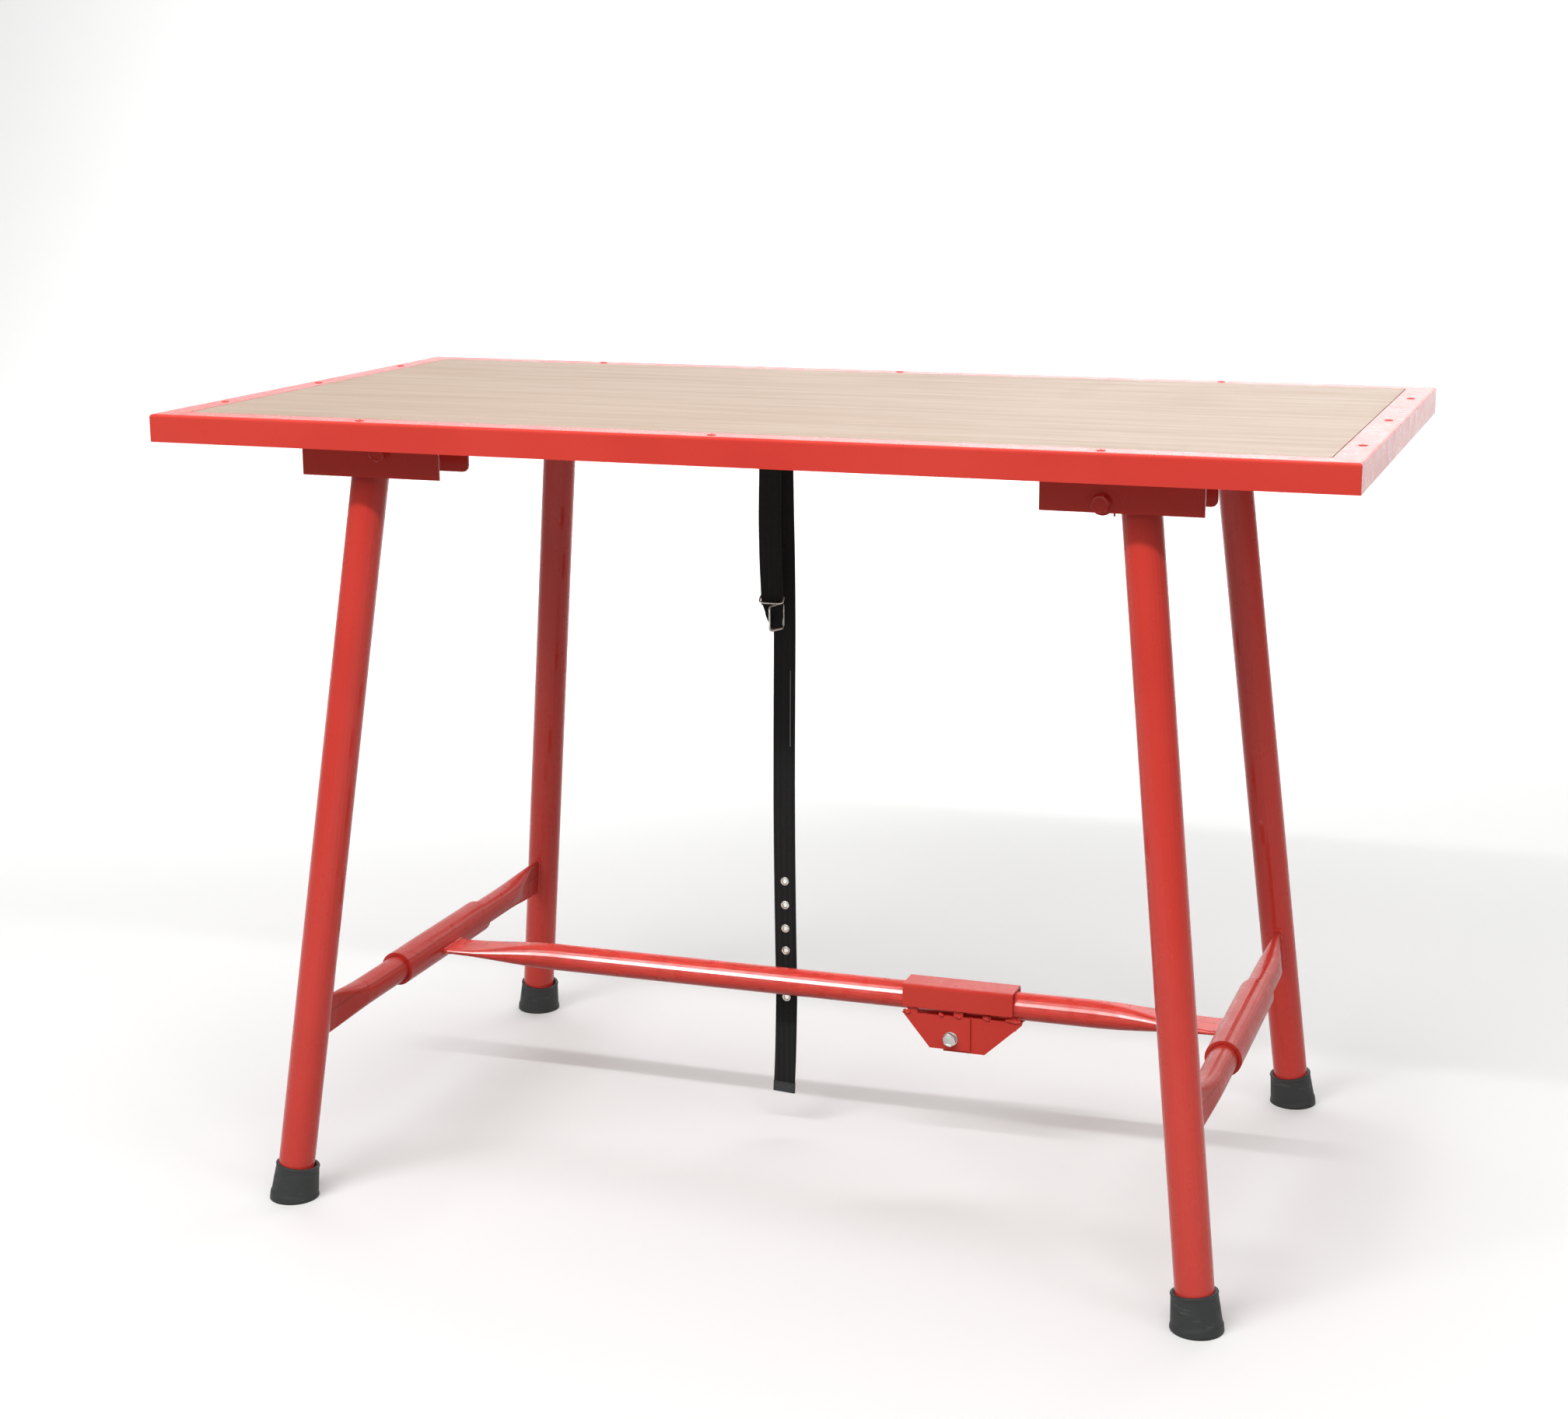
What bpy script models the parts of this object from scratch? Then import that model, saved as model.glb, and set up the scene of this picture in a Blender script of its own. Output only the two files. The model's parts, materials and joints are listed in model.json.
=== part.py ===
"""Folding steel workbench with a timber panel in its top, in metres, +Z up.

The origin is on the floor under the middle of the top. X runs along the long side and
-Y is the front. Two splayed leg frames hinge under the top and fold inwards. A brace of
two hinged halves joins the frames' crossbars, and a webbing strap hangs under the top.
"""
import math

import bmesh
import bpy
from mathutils import Matrix, Vector

# top: four mitred angle rails around a rebated panel
TOP_LENGTH, TOP_DEPTH, TOP_HEIGHT = 1.200, 0.630, 0.830
RAIL_FLANGE, RAIL_DROP = 0.029, 0.028
SHEET = 0.0025              # steel sheet of the rails, brackets and lock channel
RAIL_BEND = 0.003           # outside radius of the rail's fold
PANEL_THICKNESS = 0.020
PANEL_JOINT = 0.001         # shadow gap between the panel and the flange's edge
PANEL_CORNER = 0.005
GAP = 0.0003                # between solids that touch
SCREW_HEAD, SCREW_RISE = 0.0042, 0.0009
LONG_SIDE_SCREWS = (-0.37, 0.0, 0.37)
SHORT_SIDE_SCREWS = (-0.195, 0.0, 0.195)

# brackets under the panel, one over each leg
CROSS_MEMBER = 0.0023       # thickness of the strip that carries a pair of brackets
BRACKET_X = (0.305, 0.4575)
BRACKET_Y = (0.195, 0.2625)
BRACKET_FOOT = 0.768        # height of the bracket's lower edge
BRACKET_CORNER = 0.006      # on the inner flange

# leg frames; each leg leans out by its splay as it goes down
LEG_RADIUS, LEG_WALL = 0.019, 0.002
PIVOT = {"left": (-0.370, 0.794), "right": (0.363, 0.777)}
FOOT_X = {"left": -0.4848, "right": 0.4824}
FOOT_Y = {"left": 0.3090, "right": 0.2995}
LEAN_X = {"left": 0.1145, "right": -0.1138}     # x gained for each metre up
LEAN_Y = {"left": 0.0990, "right": 0.0830}      # closing in for each metre up
LEG_TOP = 0.8005            # height of the leg's upper end, on its axis
CROSSBAR = {"left": (-0.463, 0.188), "right": (0.465, 0.196)}
BUSH_RADIUS = {"left": 0.0102, "right": 0.012}
BUSH_LENGTH, BUSH_RUNNING = 0.0600, 0.00008
PIVOT_SHANK, PIVOT_HEX, PIVOT_HEAD = 0.005, 0.016, 0.0064
THREAD_END = 0.003          # how far a shank stands out of its nut
FOOT_TOP, FOOT_BASE, FOOT_RISE, FOOT_SOLE = 0.0227, 0.0253, 0.0370, 0.0083

# crushed tubes: crossbars stand their flat ends upright, brace tubes lay them level
TUBE_RADIUS, TUBE_WALL, CRUSHED = 0.015, 0.002, 0.005
VENT_RADIUS = 0.003         # hole in a crossbar's underside, inside its sleeve
CROSSBAR_ROUND, CROSSBAR_FLAT = 0.172, 0.262    # where the crushing starts and ends
SLEEVE_RADIUS, SLEEVE_BORE, SLEEVE_LENGTH = 0.019, 0.0154, 0.200

# brace, drawn in its own frame: u along it from the hinge bolt, w up from its axis
BRACE_BOLT_X, BRACE_HEIGHT, BRACE_SLOPE = 0.157, 0.1898, math.radians(0.455)
BRACE_TAPER, BRACE_FLAT = 0.120, 0.010
BUTT = {"left": 0.0137, "right": 0.0153}
BOLT_DROP = 0.0403          # hinge bolt below the brace's axis
BOLT_SHANK, BOLT_HEX, BOLT_HEAD = 0.004, 0.013, 0.0055
PLATE_FACE = {"left": 0.0145, "right": 0.0117}      # outer face, from the middle plane
PLATE_TOP = -0.0153
LEFT_PLATE = [(-0.054, PLATE_TOP), (-0.0235, -0.0528), (0.0215, -0.0528), (0.0215, PLATE_TOP)]
RIGHT_PLATE = [(-0.009, PLATE_TOP), (-0.009, -0.0558), (0.037, -0.0558), (0.078, -0.0180),
               (0.078, PLATE_TOP)]
LEFT_TABS = (-0.0095, (0.0034, 0.0137), (-0.0484, -0.0372))      # height, then each tab's ends
RIGHT_TABS = (-0.0122, (0.0612, 0.0725), (0.0344, 0.0439))
LOCK_START, LOCK_END = -0.053, 0.069
LOCK_WIDTH, LOCK_TOP, LOCK_FOOT = 0.0356, 0.0178, -0.0075

# strap: two strands of one webbing, the short one with a wire slide and buckle
WEBBING_WIDTH, WEBBING = 0.025, 0.0014
STRAP_LONG_X, STRAP_LONG_Y, STRAP_TIP = -0.0470, 0.0300, 0.0440
STRAP_SHORT_X, STRAP_SHORT_Y, STRAP_FOLD = -0.0578, 0.0200, 0.6083
WIRE = 0.001                # radius of the slide's and the buckle's wire
SLIDE_HEIGHT, SLIDE_SIZE = 0.6120, (0.0275, 0.0065)
BUCKLE_AT = (-0.0503, 0.0165, 0.5935)
BUCKLE_SIZE, BUCKLE_TURN = (0.0240, 0.0270), math.radians(71)

SIDES = 28                  # facets round a tube
PANEL_FOOT = TOP_HEIGHT - PANEL_THICKNESS
WEB_TOP = PANEL_FOOT - CROSS_MEMBER - 2 * GAP
STRAP_TOP = PANEL_FOOT - 2 * GAP
END_SIGN = {"left": -1, "right": 1}


# ---------------------------------------------------------------- scene and materials
def clear_scene():
    for obj in list(bpy.data.objects):
        bpy.data.objects.remove(obj, do_unlink=True)


def make_collection(name):
    collection = bpy.data.collections.new(name)
    bpy.context.scene.collection.children.link(collection)
    return collection


def make_material(name, colour, roughness, metallic=0.0):
    material = bpy.data.materials.new(name)
    material.use_nodes = True
    shader = material.node_tree.nodes["Principled BSDF"]
    shader.inputs["Base Color"].default_value = (*colour, 1.0)
    shader.inputs["Roughness"].default_value = roughness
    shader.inputs["Metallic"].default_value = metallic
    return material


clear_scene()
PARTS = make_collection("folding_workbench")
CUTTERS = make_collection("cutters")
RED = make_material("red_paint", (0.58, 0.045, 0.033), 0.28)
TIMBER = make_material("timber", (0.73, 0.55, 0.41), 0.6)
RUBBER = make_material("rubber", (0.045, 0.046, 0.048), 0.75)
ZINC = make_material("zinc", (0.62, 0.62, 0.60), 0.35, 1.0)
WEB = make_material("webbing", (0.012, 0.012, 0.013), 0.9)
WIRE_STEEL = make_material("wire_steel", (0.55, 0.54, 0.52), 0.3, 1.0)


# ---------------------------------------------------------------- shape helpers
def as_mesh(obj):
    """Replace an object by its evaluated mesh, with coincident points welded."""
    graph = bpy.context.evaluated_depsgraph_get()
    mesh = bpy.data.meshes.new_from_object(obj.evaluated_get(graph))
    shape = bmesh.new()
    shape.from_mesh(mesh)
    bmesh.ops.remove_doubles(shape, verts=shape.verts, dist=1e-6)
    bmesh.ops.recalc_face_normals(shape, faces=shape.faces)
    shape.to_mesh(mesh)
    shape.free()
    solid = bpy.data.objects.new(obj.name, mesh)
    solid.matrix_world = obj.matrix_world
    name = obj.name
    bpy.data.objects.remove(obj, do_unlink=True)
    solid.name = mesh.name = name
    PARTS.objects.link(solid)
    return solid


def outline_solid(name, outlines, thickness):
    """A flat outline (with its holes) in the local XY plane, thickness centred on it."""
    curve = bpy.data.curves.new(name, "CURVE")
    curve.dimensions, curve.fill_mode, curve.extrude = "2D", "BOTH", thickness / 2
    for points in outlines:
        spline = curve.splines.new("POLY")
        spline.points.add(len(points) - 1)
        for knot, (x, y) in zip(spline.points, points):
            knot.co = (x, y, 0, 1)
        spline.use_cyclic_u = True
    obj = bpy.data.objects.new(name, curve)
    PARTS.objects.link(obj)
    bpy.context.view_layer.update()
    return as_mesh(obj)


def arc(centre, radius, start, end, steps):
    """Points on an arc, angles in degrees."""
    angles = [math.radians(start + (end - start) * k / steps) for k in range(steps + 1)]
    return [(centre[0] + radius * math.cos(a), centre[1] + radius * math.sin(a)) for a in angles]


def circle(radius, sides=SIDES):
    return arc((0, 0), radius, 0, 360 * (sides - 1) / sides, sides - 1)


def hexagon(across_flats):
    return arc((0, 0), across_flats / math.sqrt(3), 0, 300, 5)


def channel_outline(width, height, sheet, bend):
    """A U open downwards, its web's outer face at y = 0."""
    inner = bend - sheet if bend > sheet else 0.0002
    half, foot = width / 2, -height
    corner, root = half - bend, half - sheet - inner
    return (
        [(-half, foot)] + arc((-corner, -bend), bend, 180, 90, 3)
        + arc((corner, -bend), bend, 90, 0, 3) + [(half, foot), (half - sheet, foot)]
        + arc((root, -sheet - inner), inner, 0, 90, 2)
        + arc((-root, -sheet - inner), inner, 90, 180, 2) + [(sheet - half, foot)]
    )


def turned(name, profile, steps=SIDES):
    """Revolve a profile of (radius, height) points about Z into a closed solid."""
    mesh = bpy.data.meshes.new(name)
    points = [(r, 0, z) for r, z in profile]
    mesh.from_pydata(points, [(k, k + 1) for k in range(len(points) - 1)], [])
    obj = bpy.data.objects.new(name, mesh)
    PARTS.objects.link(obj)
    screw = obj.modifiers.new("turn", "SCREW")
    screw.steps = screw.render_steps = steps
    screw.use_merge_vertices, screw.merge_threshold = True, 0.00001
    bpy.context.view_layer.update()
    return as_mesh(obj)


def wire_loop(name, size, corner, radius):
    """A closed rectangle of round wire in the local XZ plane."""
    half_x, half_z = size[0] / 2 - corner, size[1] / 2 - corner
    centres = ((half_x, half_z), (-half_x, half_z), (-half_x, -half_z), (half_x, -half_z))
    points = [p for k, c in enumerate(centres) for p in arc(c, corner, 90 * k, 90 * k + 90, 3)]
    curve = bpy.data.curves.new(name, "CURVE")
    curve.dimensions, curve.bevel_depth, curve.bevel_resolution = "3D", radius, 2
    spline = curve.splines.new("POLY")
    spline.points.add(len(points) - 1)
    for knot, (x, z) in zip(spline.points, points):
        knot.co = (x, 0, z, 1)
    spline.use_cyclic_u = True
    obj = bpy.data.objects.new(name, curve)
    PARTS.objects.link(obj)
    bpy.context.view_layer.update()
    return as_mesh(obj)


def flattened_section(flatness, wall=0.0):
    """Points of a tube's outline crushed by flatness 0 to 1, its perimeter unchanged.

    With a wall, the points are those of the bore: the outline moved in by the wall.
    """
    thick = 2 * TUBE_RADIUS + (CRUSHED - 2 * TUBE_RADIUS) * flatness
    wide = math.pi * (2 * TUBE_RADIUS - thick) / 2 + thick
    reach, half = (wide - thick) / 2, SIDES // 2
    margin = 180 / SIDES
    bow = arc((0, 0), thick / 2 - wall, margin, 180 - margin, half - 1)
    upper = [(x, y + reach) for x, y in bow]
    return upper + [(-x, -y) for x, y in upper]


def loft(shape, stations, wall=0.0, shears=(0.0, 0.0)):
    """Skin a run of sections, and return its first and last rings of points.

    The shears slant the end sections, so that they meet a leaning leg.
    """
    rings = []
    for k, (along, flatness) in enumerate(stations):
        shear = {0: shears[0], len(stations) - 1: shears[1]}.get(k, 0.0)
        rings.append([shape.verts.new((x, y, along + shear * y))
                      for x, y in flattened_section(flatness, wall)])
    for lower, upper in zip(rings, rings[1:]):
        for k in range(SIDES):
            after = (k + 1) % SIDES
            shape.faces.new((lower[k], lower[after], upper[after], upper[k]))
    return rings[0], rings[-1]


def object_from(shape, name):
    bmesh.ops.recalc_face_normals(shape, faces=shape.faces)
    mesh = bpy.data.meshes.new(name)
    shape.to_mesh(mesh)
    shape.free()
    obj = bpy.data.objects.new(name, mesh)
    PARTS.objects.link(obj)
    return obj


def crushed_bar(name, stations, end_shear):
    """A solid run along local Z through (position, flatness) stations, crushed at both ends.

    Local Y is the wide way of the crushed ends.
    """
    shape = bmesh.new()
    first, last = loft(shape, stations, shears=(-end_shear, end_shear))
    shape.faces.new(first)
    shape.faces.new(last)
    return object_from(shape, name)


def crushed_tube(name, stations):
    """A tube along local Z, open at its first station and crushed at its last."""
    shape = bmesh.new()
    outer_open, outer_tip = loft(shape, stations)
    inner_open, inner_tip = loft(shape, stations[:-1], TUBE_WALL)
    shape.faces.new(outer_tip)
    shape.faces.new(inner_tip)
    for k in range(SIDES):
        after = (k + 1) % SIDES
        shape.faces.new((outer_open[k], outer_open[after], inner_open[after], inner_open[k]))
    return object_from(shape, name)


def crushing(start, end, steps=5):
    """(position, flatness) stations that ease from round at start to crushed at end."""
    fractions = [k / steps for k in range(steps + 1)]
    return [(start + (end - start) * f, f * f * (3 - 2 * f)) for f in fractions]


def trim(obj, point, normal):
    """Cut away what lies beyond a plane in the object's mesh, and close the cut."""
    shape = bmesh.new()
    shape.from_mesh(obj.data)
    everything = shape.verts[:] + shape.edges[:] + shape.faces[:]
    cut = bmesh.ops.bisect_plane(shape, geom=everything, dist=1e-7, plane_co=point,
                                 plane_no=normal, clear_outer=True)
    edges = [e for e in cut["geom_cut"] if isinstance(e, bmesh.types.BMEdge)]
    bmesh.ops.holes_fill(shape, edges=edges, sides=0)
    bmesh.ops.recalc_face_normals(shape, faces=shape.faces)
    shape.to_mesh(obj.data)
    shape.free()


def round_edges(obj, wanted, radius, segments=3):
    """Bevel the mesh's edges whose two end points both satisfy wanted."""
    shape = bmesh.new()
    shape.from_mesh(obj.data)
    edges = [e for e in shape.edges if wanted(e.verts[0].co, e.verts[1].co)]
    bmesh.ops.bevel(shape, geom=edges, offset=radius, segments=segments, profile=0.5,
                    affect="EDGES")
    shape.to_mesh(obj.data)
    shape.free()


def boolean(obj, cutter, operation="DIFFERENCE"):
    modifier = obj.modifiers.new(operation.lower(), "BOOLEAN")
    modifier.operation, modifier.object = operation, cutter


def as_cutter(obj):
    PARTS.objects.unlink(obj)
    CUTTERS.objects.link(obj)
    obj.hide_render, obj.display_type = True, "WIRE"
    return obj


def finish(obj, material, parent=None, smooth=True):
    """Give the material and the shading, and hang the piece from its joint's empty."""
    obj.data.materials.clear()
    obj.data.materials.append(material)
    if smooth:
        obj.data.shade_smooth()
        obj.data.set_sharp_from_angle(angle=math.radians(32))
    if parent:
        hang_from(obj, parent)
    return obj


def hang_from(obj, parent):
    """Parent without moving: every empty here is a pure shift from the origin."""
    obj.parent = parent
    obj.matrix_parent_inverse = Matrix.Translation(-parent.location)


def joint_empty(name, x, z):
    empty = bpy.data.objects.new(name, None)
    empty.location, empty.empty_display_size = (x, 0, z), 0.05
    PARTS.objects.link(empty)
    return empty


LEVEL_Y = Matrix.Rotation(math.pi / 2, 4, "X")     # local XY plane stands in XZ
LEVEL_X = Matrix.Rotation(math.pi / 2, 4, "Z") @ LEVEL_Y   # local XY plane stands in YZ


def at(x, y, z, turn=Matrix.Identity(4)):
    return Matrix.Translation((x, y, z)) @ turn


# ---------------------------------------------------------------- top
def make_rail(name, length, place):
    """An angle rail along local X, its outer face at y = 0, mitred at both ends."""
    inner = RAIL_BEND - SHEET
    outline = (
        [(0, -RAIL_DROP), (SHEET, -RAIL_DROP)]
        + arc((RAIL_BEND, -RAIL_BEND), inner, 180, 90, 2)
        + [(RAIL_FLANGE, -SHEET), (RAIL_FLANGE, 0)]
        + arc((RAIL_BEND, -RAIL_BEND), RAIL_BEND, 90, 180, 4)
    )
    rail = outline_solid(name, [outline], length)
    rail.data.transform(LEVEL_X)
    for end in (-1, 1):
        trim(rail, (end * (length / 2 - GAP / 2), 0, 0), (end, 1, 0))
    rail.matrix_world = place
    finish(rail, RED)


def make_rails():
    for name, length, reach, turn in (
        ("front_rail", TOP_LENGTH, TOP_DEPTH / 2, 0),
        ("rear_rail", TOP_LENGTH, TOP_DEPTH / 2, 180),
        ("right_rail", TOP_DEPTH, TOP_LENGTH / 2, 90),
        ("left_rail", TOP_DEPTH, TOP_LENGTH / 2, -90),
    ):
        spin = Matrix.Rotation(math.radians(turn), 4, "Z")
        make_rail(name, length, spin @ at(0, -reach, TOP_HEIGHT))


def rounded_rectangle(length, width, corner, steps=4):
    x, y = length / 2 - corner, width / 2 - corner
    centres = ((x, y), (-x, y), (-x, -y), (x, -y))
    return [p for k, c in enumerate(centres) for p in arc(c, corner, 90 * k, 90 * k + 90, steps)]


def make_panel():
    """The panel's full sheet sits under the flanges; its raised middle fills the opening."""
    edge, inset = SHEET + 2 * GAP, RAIL_FLANGE + PANEL_JOINT
    under = PANEL_THICKNESS - SHEET - GAP
    sheet = rounded_rectangle(TOP_LENGTH - 2 * edge, TOP_DEPTH - 2 * edge, 0.001, 1)
    middle = rounded_rectangle(TOP_LENGTH - 2 * inset, TOP_DEPTH - 2 * inset, PANEL_CORNER)
    panel = outline_solid("worktop_panel", [sheet], under)
    panel.location = (0, 0, PANEL_FOOT + under / 2)
    raised = outline_solid("panel_middle", [middle], PANEL_THICKNESS / 2)
    raised.location = (0, 0, TOP_HEIGHT - PANEL_THICKNESS / 4)
    boolean(panel, as_cutter(raised), "UNION")
    finish(panel, TIMBER, smooth=False)


def make_panel_screws():
    """Pan heads on the flanges' middle line; they all share one mesh."""
    half = RAIL_FLANGE / 2
    rows = [(x, s * (TOP_DEPTH / 2 - half)) for s in (-1, 1) for x in LONG_SIDE_SCREWS]
    rows += [(s * (TOP_LENGTH / 2 - half), y) for s in (-1, 1) for y in SHORT_SIDE_SCREWS]
    profile = [(0, SCREW_RISE), (SCREW_HEAD * 0.6, SCREW_RISE * 0.85),
               (SCREW_HEAD, SCREW_RISE * 0.3), (SCREW_HEAD, 0), (0, 0)]
    first = turned("panel_screw_1", profile, steps=14)
    for k, (x, y) in enumerate(rows):
        screw = first
        if k:
            screw = bpy.data.objects.new(f"panel_screw_{k + 1}", first.data)
            PARTS.objects.link(screw)
        screw.location = (x, y, TOP_HEIGHT + GAP)
        finish(screw, RED)


def make_brackets(cutters):
    """A strip across the panel's underside at each end, with a channel over each leg."""
    middle = sum(BRACKET_X) / 2
    length, width = BRACKET_X[1] - BRACKET_X[0], BRACKET_Y[1] - BRACKET_Y[0]
    strip_half = TOP_DEPTH / 2 - SHEET - GAP
    strip = [(-length / 2, -strip_half), (length / 2, -strip_half),
             (length / 2, strip_half), (-length / 2, strip_half)]
    outline = channel_outline(width, WEB_TOP - BRACKET_FOOT, SHEET, 0.004)
    for side, sign in END_SIGN.items():
        member = outline_solid(f"{side}_cross_member", [strip], CROSS_MEMBER)
        member.location = (sign * middle, 0, PANEL_FOOT - GAP - CROSS_MEMBER / 2)
        finish(member, RED)
        for row, face in (("front", -1), ("rear", 1)):
            bracket = outline_solid(f"{side}_{row}_bracket", [outline], length)
            bracket.data.transform(LEVEL_X)
            foot = BRACKET_FOOT - WEB_TOP + SHEET
            round_edges(bracket, lambda a, b: max(a.z, b.z) < foot and a.x * b.x > 0
                        and max(face * a.y, face * b.y) < 0 and abs(a.y - b.y) > SHEET / 2,
                        BRACKET_CORNER)
            bracket.location = (sign * middle, face * sum(BRACKET_Y) / 2, WEB_TOP)
            boolean(bracket, cutters[side])
            finish(bracket, RED)


# ---------------------------------------------------------------- leg frames
def leg_point(side, face, z):
    """The point on a leg's axis at height z; face is -1 at the front and 1 at the rear."""
    return Vector((FOOT_X[side] + LEAN_X[side] * z, face * (FOOT_Y[side] - LEAN_Y[side] * z), z))


def along(start, end):
    """A turn that lays local Z on the line from start to end."""
    return (end - start).to_track_quat("Z", "Y").to_matrix().to_4x4()


def bush_centre(side, face):
    x, z = PIVOT[side]
    return Vector((x, face * sum(BRACKET_Y) / 2, z))


def make_pivot_cutters():
    """Clearance cylinders along each leg pivot: a narrow one for the bolt holes."""
    narrow, wide = {}, {}
    for side in END_SIGN:
        x, z = PIVOT[side]
        for found, radius, what in ((narrow, PIVOT_SHANK + GAP, "bolt"),
                                    (wide, BUSH_RADIUS[side] + GAP, "bush")):
            cutter = outline_solid(f"{side}_{what}_cutter", [circle(radius, 24)], TOP_DEPTH)
            cutter.matrix_world = at(x, 0, z, LEVEL_Y)
            found[side] = as_cutter(cutter)
    return narrow, wide


def make_leg(side, row, face, pivot, bush_cutter):
    """A round tube from just above the pivot into its rubber foot, coped round the bush."""
    start = leg_point(side, face, FOOT_SOLE + 2 * GAP)
    end = leg_point(side, face, LEG_TOP)
    rings = [circle(LEG_RADIUS), circle(LEG_RADIUS - LEG_WALL)]
    leg = outline_solid(f"{side}_{row}_leg", rings, (end - start).length)
    leg.matrix_world = at(*((start + end) / 2), along(start, end))
    boolean(leg, bush_cutter)
    finish(leg, RED, pivot)


def make_foot(side, row, face, pivot):
    """A tapered rubber cup on the leg's end, its sole cut level with the floor."""
    socket, rim = LEG_RADIUS + GAP, 0.0015
    profile = [(0, FOOT_SOLE), (socket, FOOT_SOLE), (socket, FOOT_RISE),
               (FOOT_TOP - rim, FOOT_RISE), (FOOT_TOP, FOOT_RISE - rim),
               (FOOT_BASE, 0.002), (FOOT_BASE - 0.001, -FOOT_SOLE), (0, -FOOT_SOLE)]
    foot = turned(f"{side}_{row}_foot", profile)
    start, end = leg_point(side, face, 0), leg_point(side, face, 1)
    foot.data.transform(at(*start, along(start, end)))
    trim(foot, (0, 0, 0), (0, 0, -1))
    sole = 1e-5
    round_edges(foot, lambda a, b: max(abs(a.z), abs(b.z)) < sole, 0.0012, 2)
    foot.data.transform(Matrix.Translation(-start))
    foot.location = start
    finish(foot, RUBBER, pivot)


def make_crossbar(side, pivot):
    """A tube between the legs with both ends crushed upright against them."""
    x, height = CROSSBAR[side]
    reach = leg_point(side, 1, height).y - LEG_RADIUS - GAP
    half = crushing(CROSSBAR_ROUND, CROSSBAR_FLAT) + [(reach, 1.0)]
    stations = [(-y, f) for y, f in reversed(half)] + half
    bar = crushed_bar(f"{side}_crossbar", stations, LEAN_Y[side])
    bore = bmesh.new()
    for end in loft(bore, stations[1:-1], TUBE_WALL):
        bore.faces.new(end)
    splay = Matrix.Rotation(math.atan(LEAN_X[side]), 4, "Y")
    upright = Matrix.Rotation(-math.pi / 2, 4, "X")     # local Z to +Y, local Y to -Z
    place = at(x, 0, height, splay @ upright)
    vent = outline_solid(f"{side}_vent_cutter", [circle(VENT_RADIUS, 16)], TUBE_RADIUS * 2)
    vent.matrix_world = at(x, 0, height - TUBE_RADIUS * 1.5)
    for cutter in (as_cutter(object_from(bore, f"{side}_bore_cutter")), as_cutter(vent)):
        boolean(bar, cutter)
    bar.matrix_world = CUTTERS.objects[f"{side}_bore_cutter"].matrix_world = place
    finish(bar, RED, pivot)


def hex_bolt(name, across_flats, head, shank, length):
    """A hexagon head at z = 0 upwards, and its shank below."""
    bolt = outline_solid(name, [hexagon(across_flats)], head)
    bolt.data.transform(Matrix.Translation((0, 0, head / 2)))
    shaft = outline_solid(f"{name}_shank", [circle(shank, 20)], length + head / 2)
    shaft.data.transform(Matrix.Translation((0, 0, head / 2 - (length + head / 2) / 2)))
    boolean(bolt, as_cutter(shaft), "UNION")
    bpy.context.view_layer.update()
    bolt = as_mesh(bolt)
    bpy.data.objects.remove(shaft, do_unlink=True)
    return bolt


def make_pivot_fasteners(side, row, face, pivot):
    """A bush welded to the leg's head, with a bolt through it and the bracket."""
    centre = bush_centre(side, face)
    rings = [circle(BUSH_RADIUS[side]), circle(PIVOT_SHANK + BUSH_RUNNING)]
    bush = outline_solid(f"{side}_{row}_bush", rings, BUSH_LENGTH)
    bush.matrix_world = at(*centre, LEVEL_Y)
    finish(bush, RED, pivot)
    outward = Matrix.Rotation(face * -math.pi / 2, 4, "X")
    outer = face * (BRACKET_Y[1] + GAP)
    grip = BRACKET_Y[1] - BRACKET_Y[0] + PIVOT_HEAD + THREAD_END
    bolt = hex_bolt(f"{side}_{row}_pivot_bolt", PIVOT_HEX, PIVOT_HEAD, PIVOT_SHANK, grip)
    bolt.matrix_world = at(centre.x, outer, centre.z, outward)
    finish(bolt, RED)
    nut = outline_solid(f"{side}_{row}_pivot_nut", [hexagon(PIVOT_HEX), circle(PIVOT_SHANK + GAP)],
                        PIVOT_HEAD)
    nut.matrix_world = at(centre.x, face * (BRACKET_Y[0] - GAP - PIVOT_HEAD / 2), centre.z, LEVEL_Y)
    finish(nut, RED)


def make_leg_frame(side, bush_cutter):
    pivot = joint_empty(f"{side}_leg_pivot", *PIVOT[side])
    for row, face in (("front", -1), ("rear", 1)):
        make_leg(side, row, face, pivot, bush_cutter)
        make_foot(side, row, face, pivot)
        make_pivot_fasteners(side, row, face, pivot)
    make_crossbar(side, pivot)
    return pivot


# ---------------------------------------------------------------- brace
def brace_frame():
    """The brace's own frame: u is +X tipped by the slope, w is up, the axis at w = 0."""
    return at(BRACE_BOLT_X, 0, BRACE_HEIGHT, Matrix.Rotation(-BRACE_SLOPE, 4, "Y"))


def crossbar_u(side):
    """Where the crossbar's axis is, along the brace from its hinge bolt."""
    return (CROSSBAR[side][0] - BRACE_BOLT_X) / math.cos(BRACE_SLOPE)


def make_sleeve(side, empty):
    sleeve = outline_solid(f"{side}_sleeve", [circle(SLEEVE_RADIUS), circle(SLEEVE_BORE)],
                           SLEEVE_LENGTH)
    x, height = CROSSBAR[side]
    sleeve.matrix_world = at(x, 0, height, LEVEL_Y)
    finish(sleeve, RED, empty)


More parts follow.
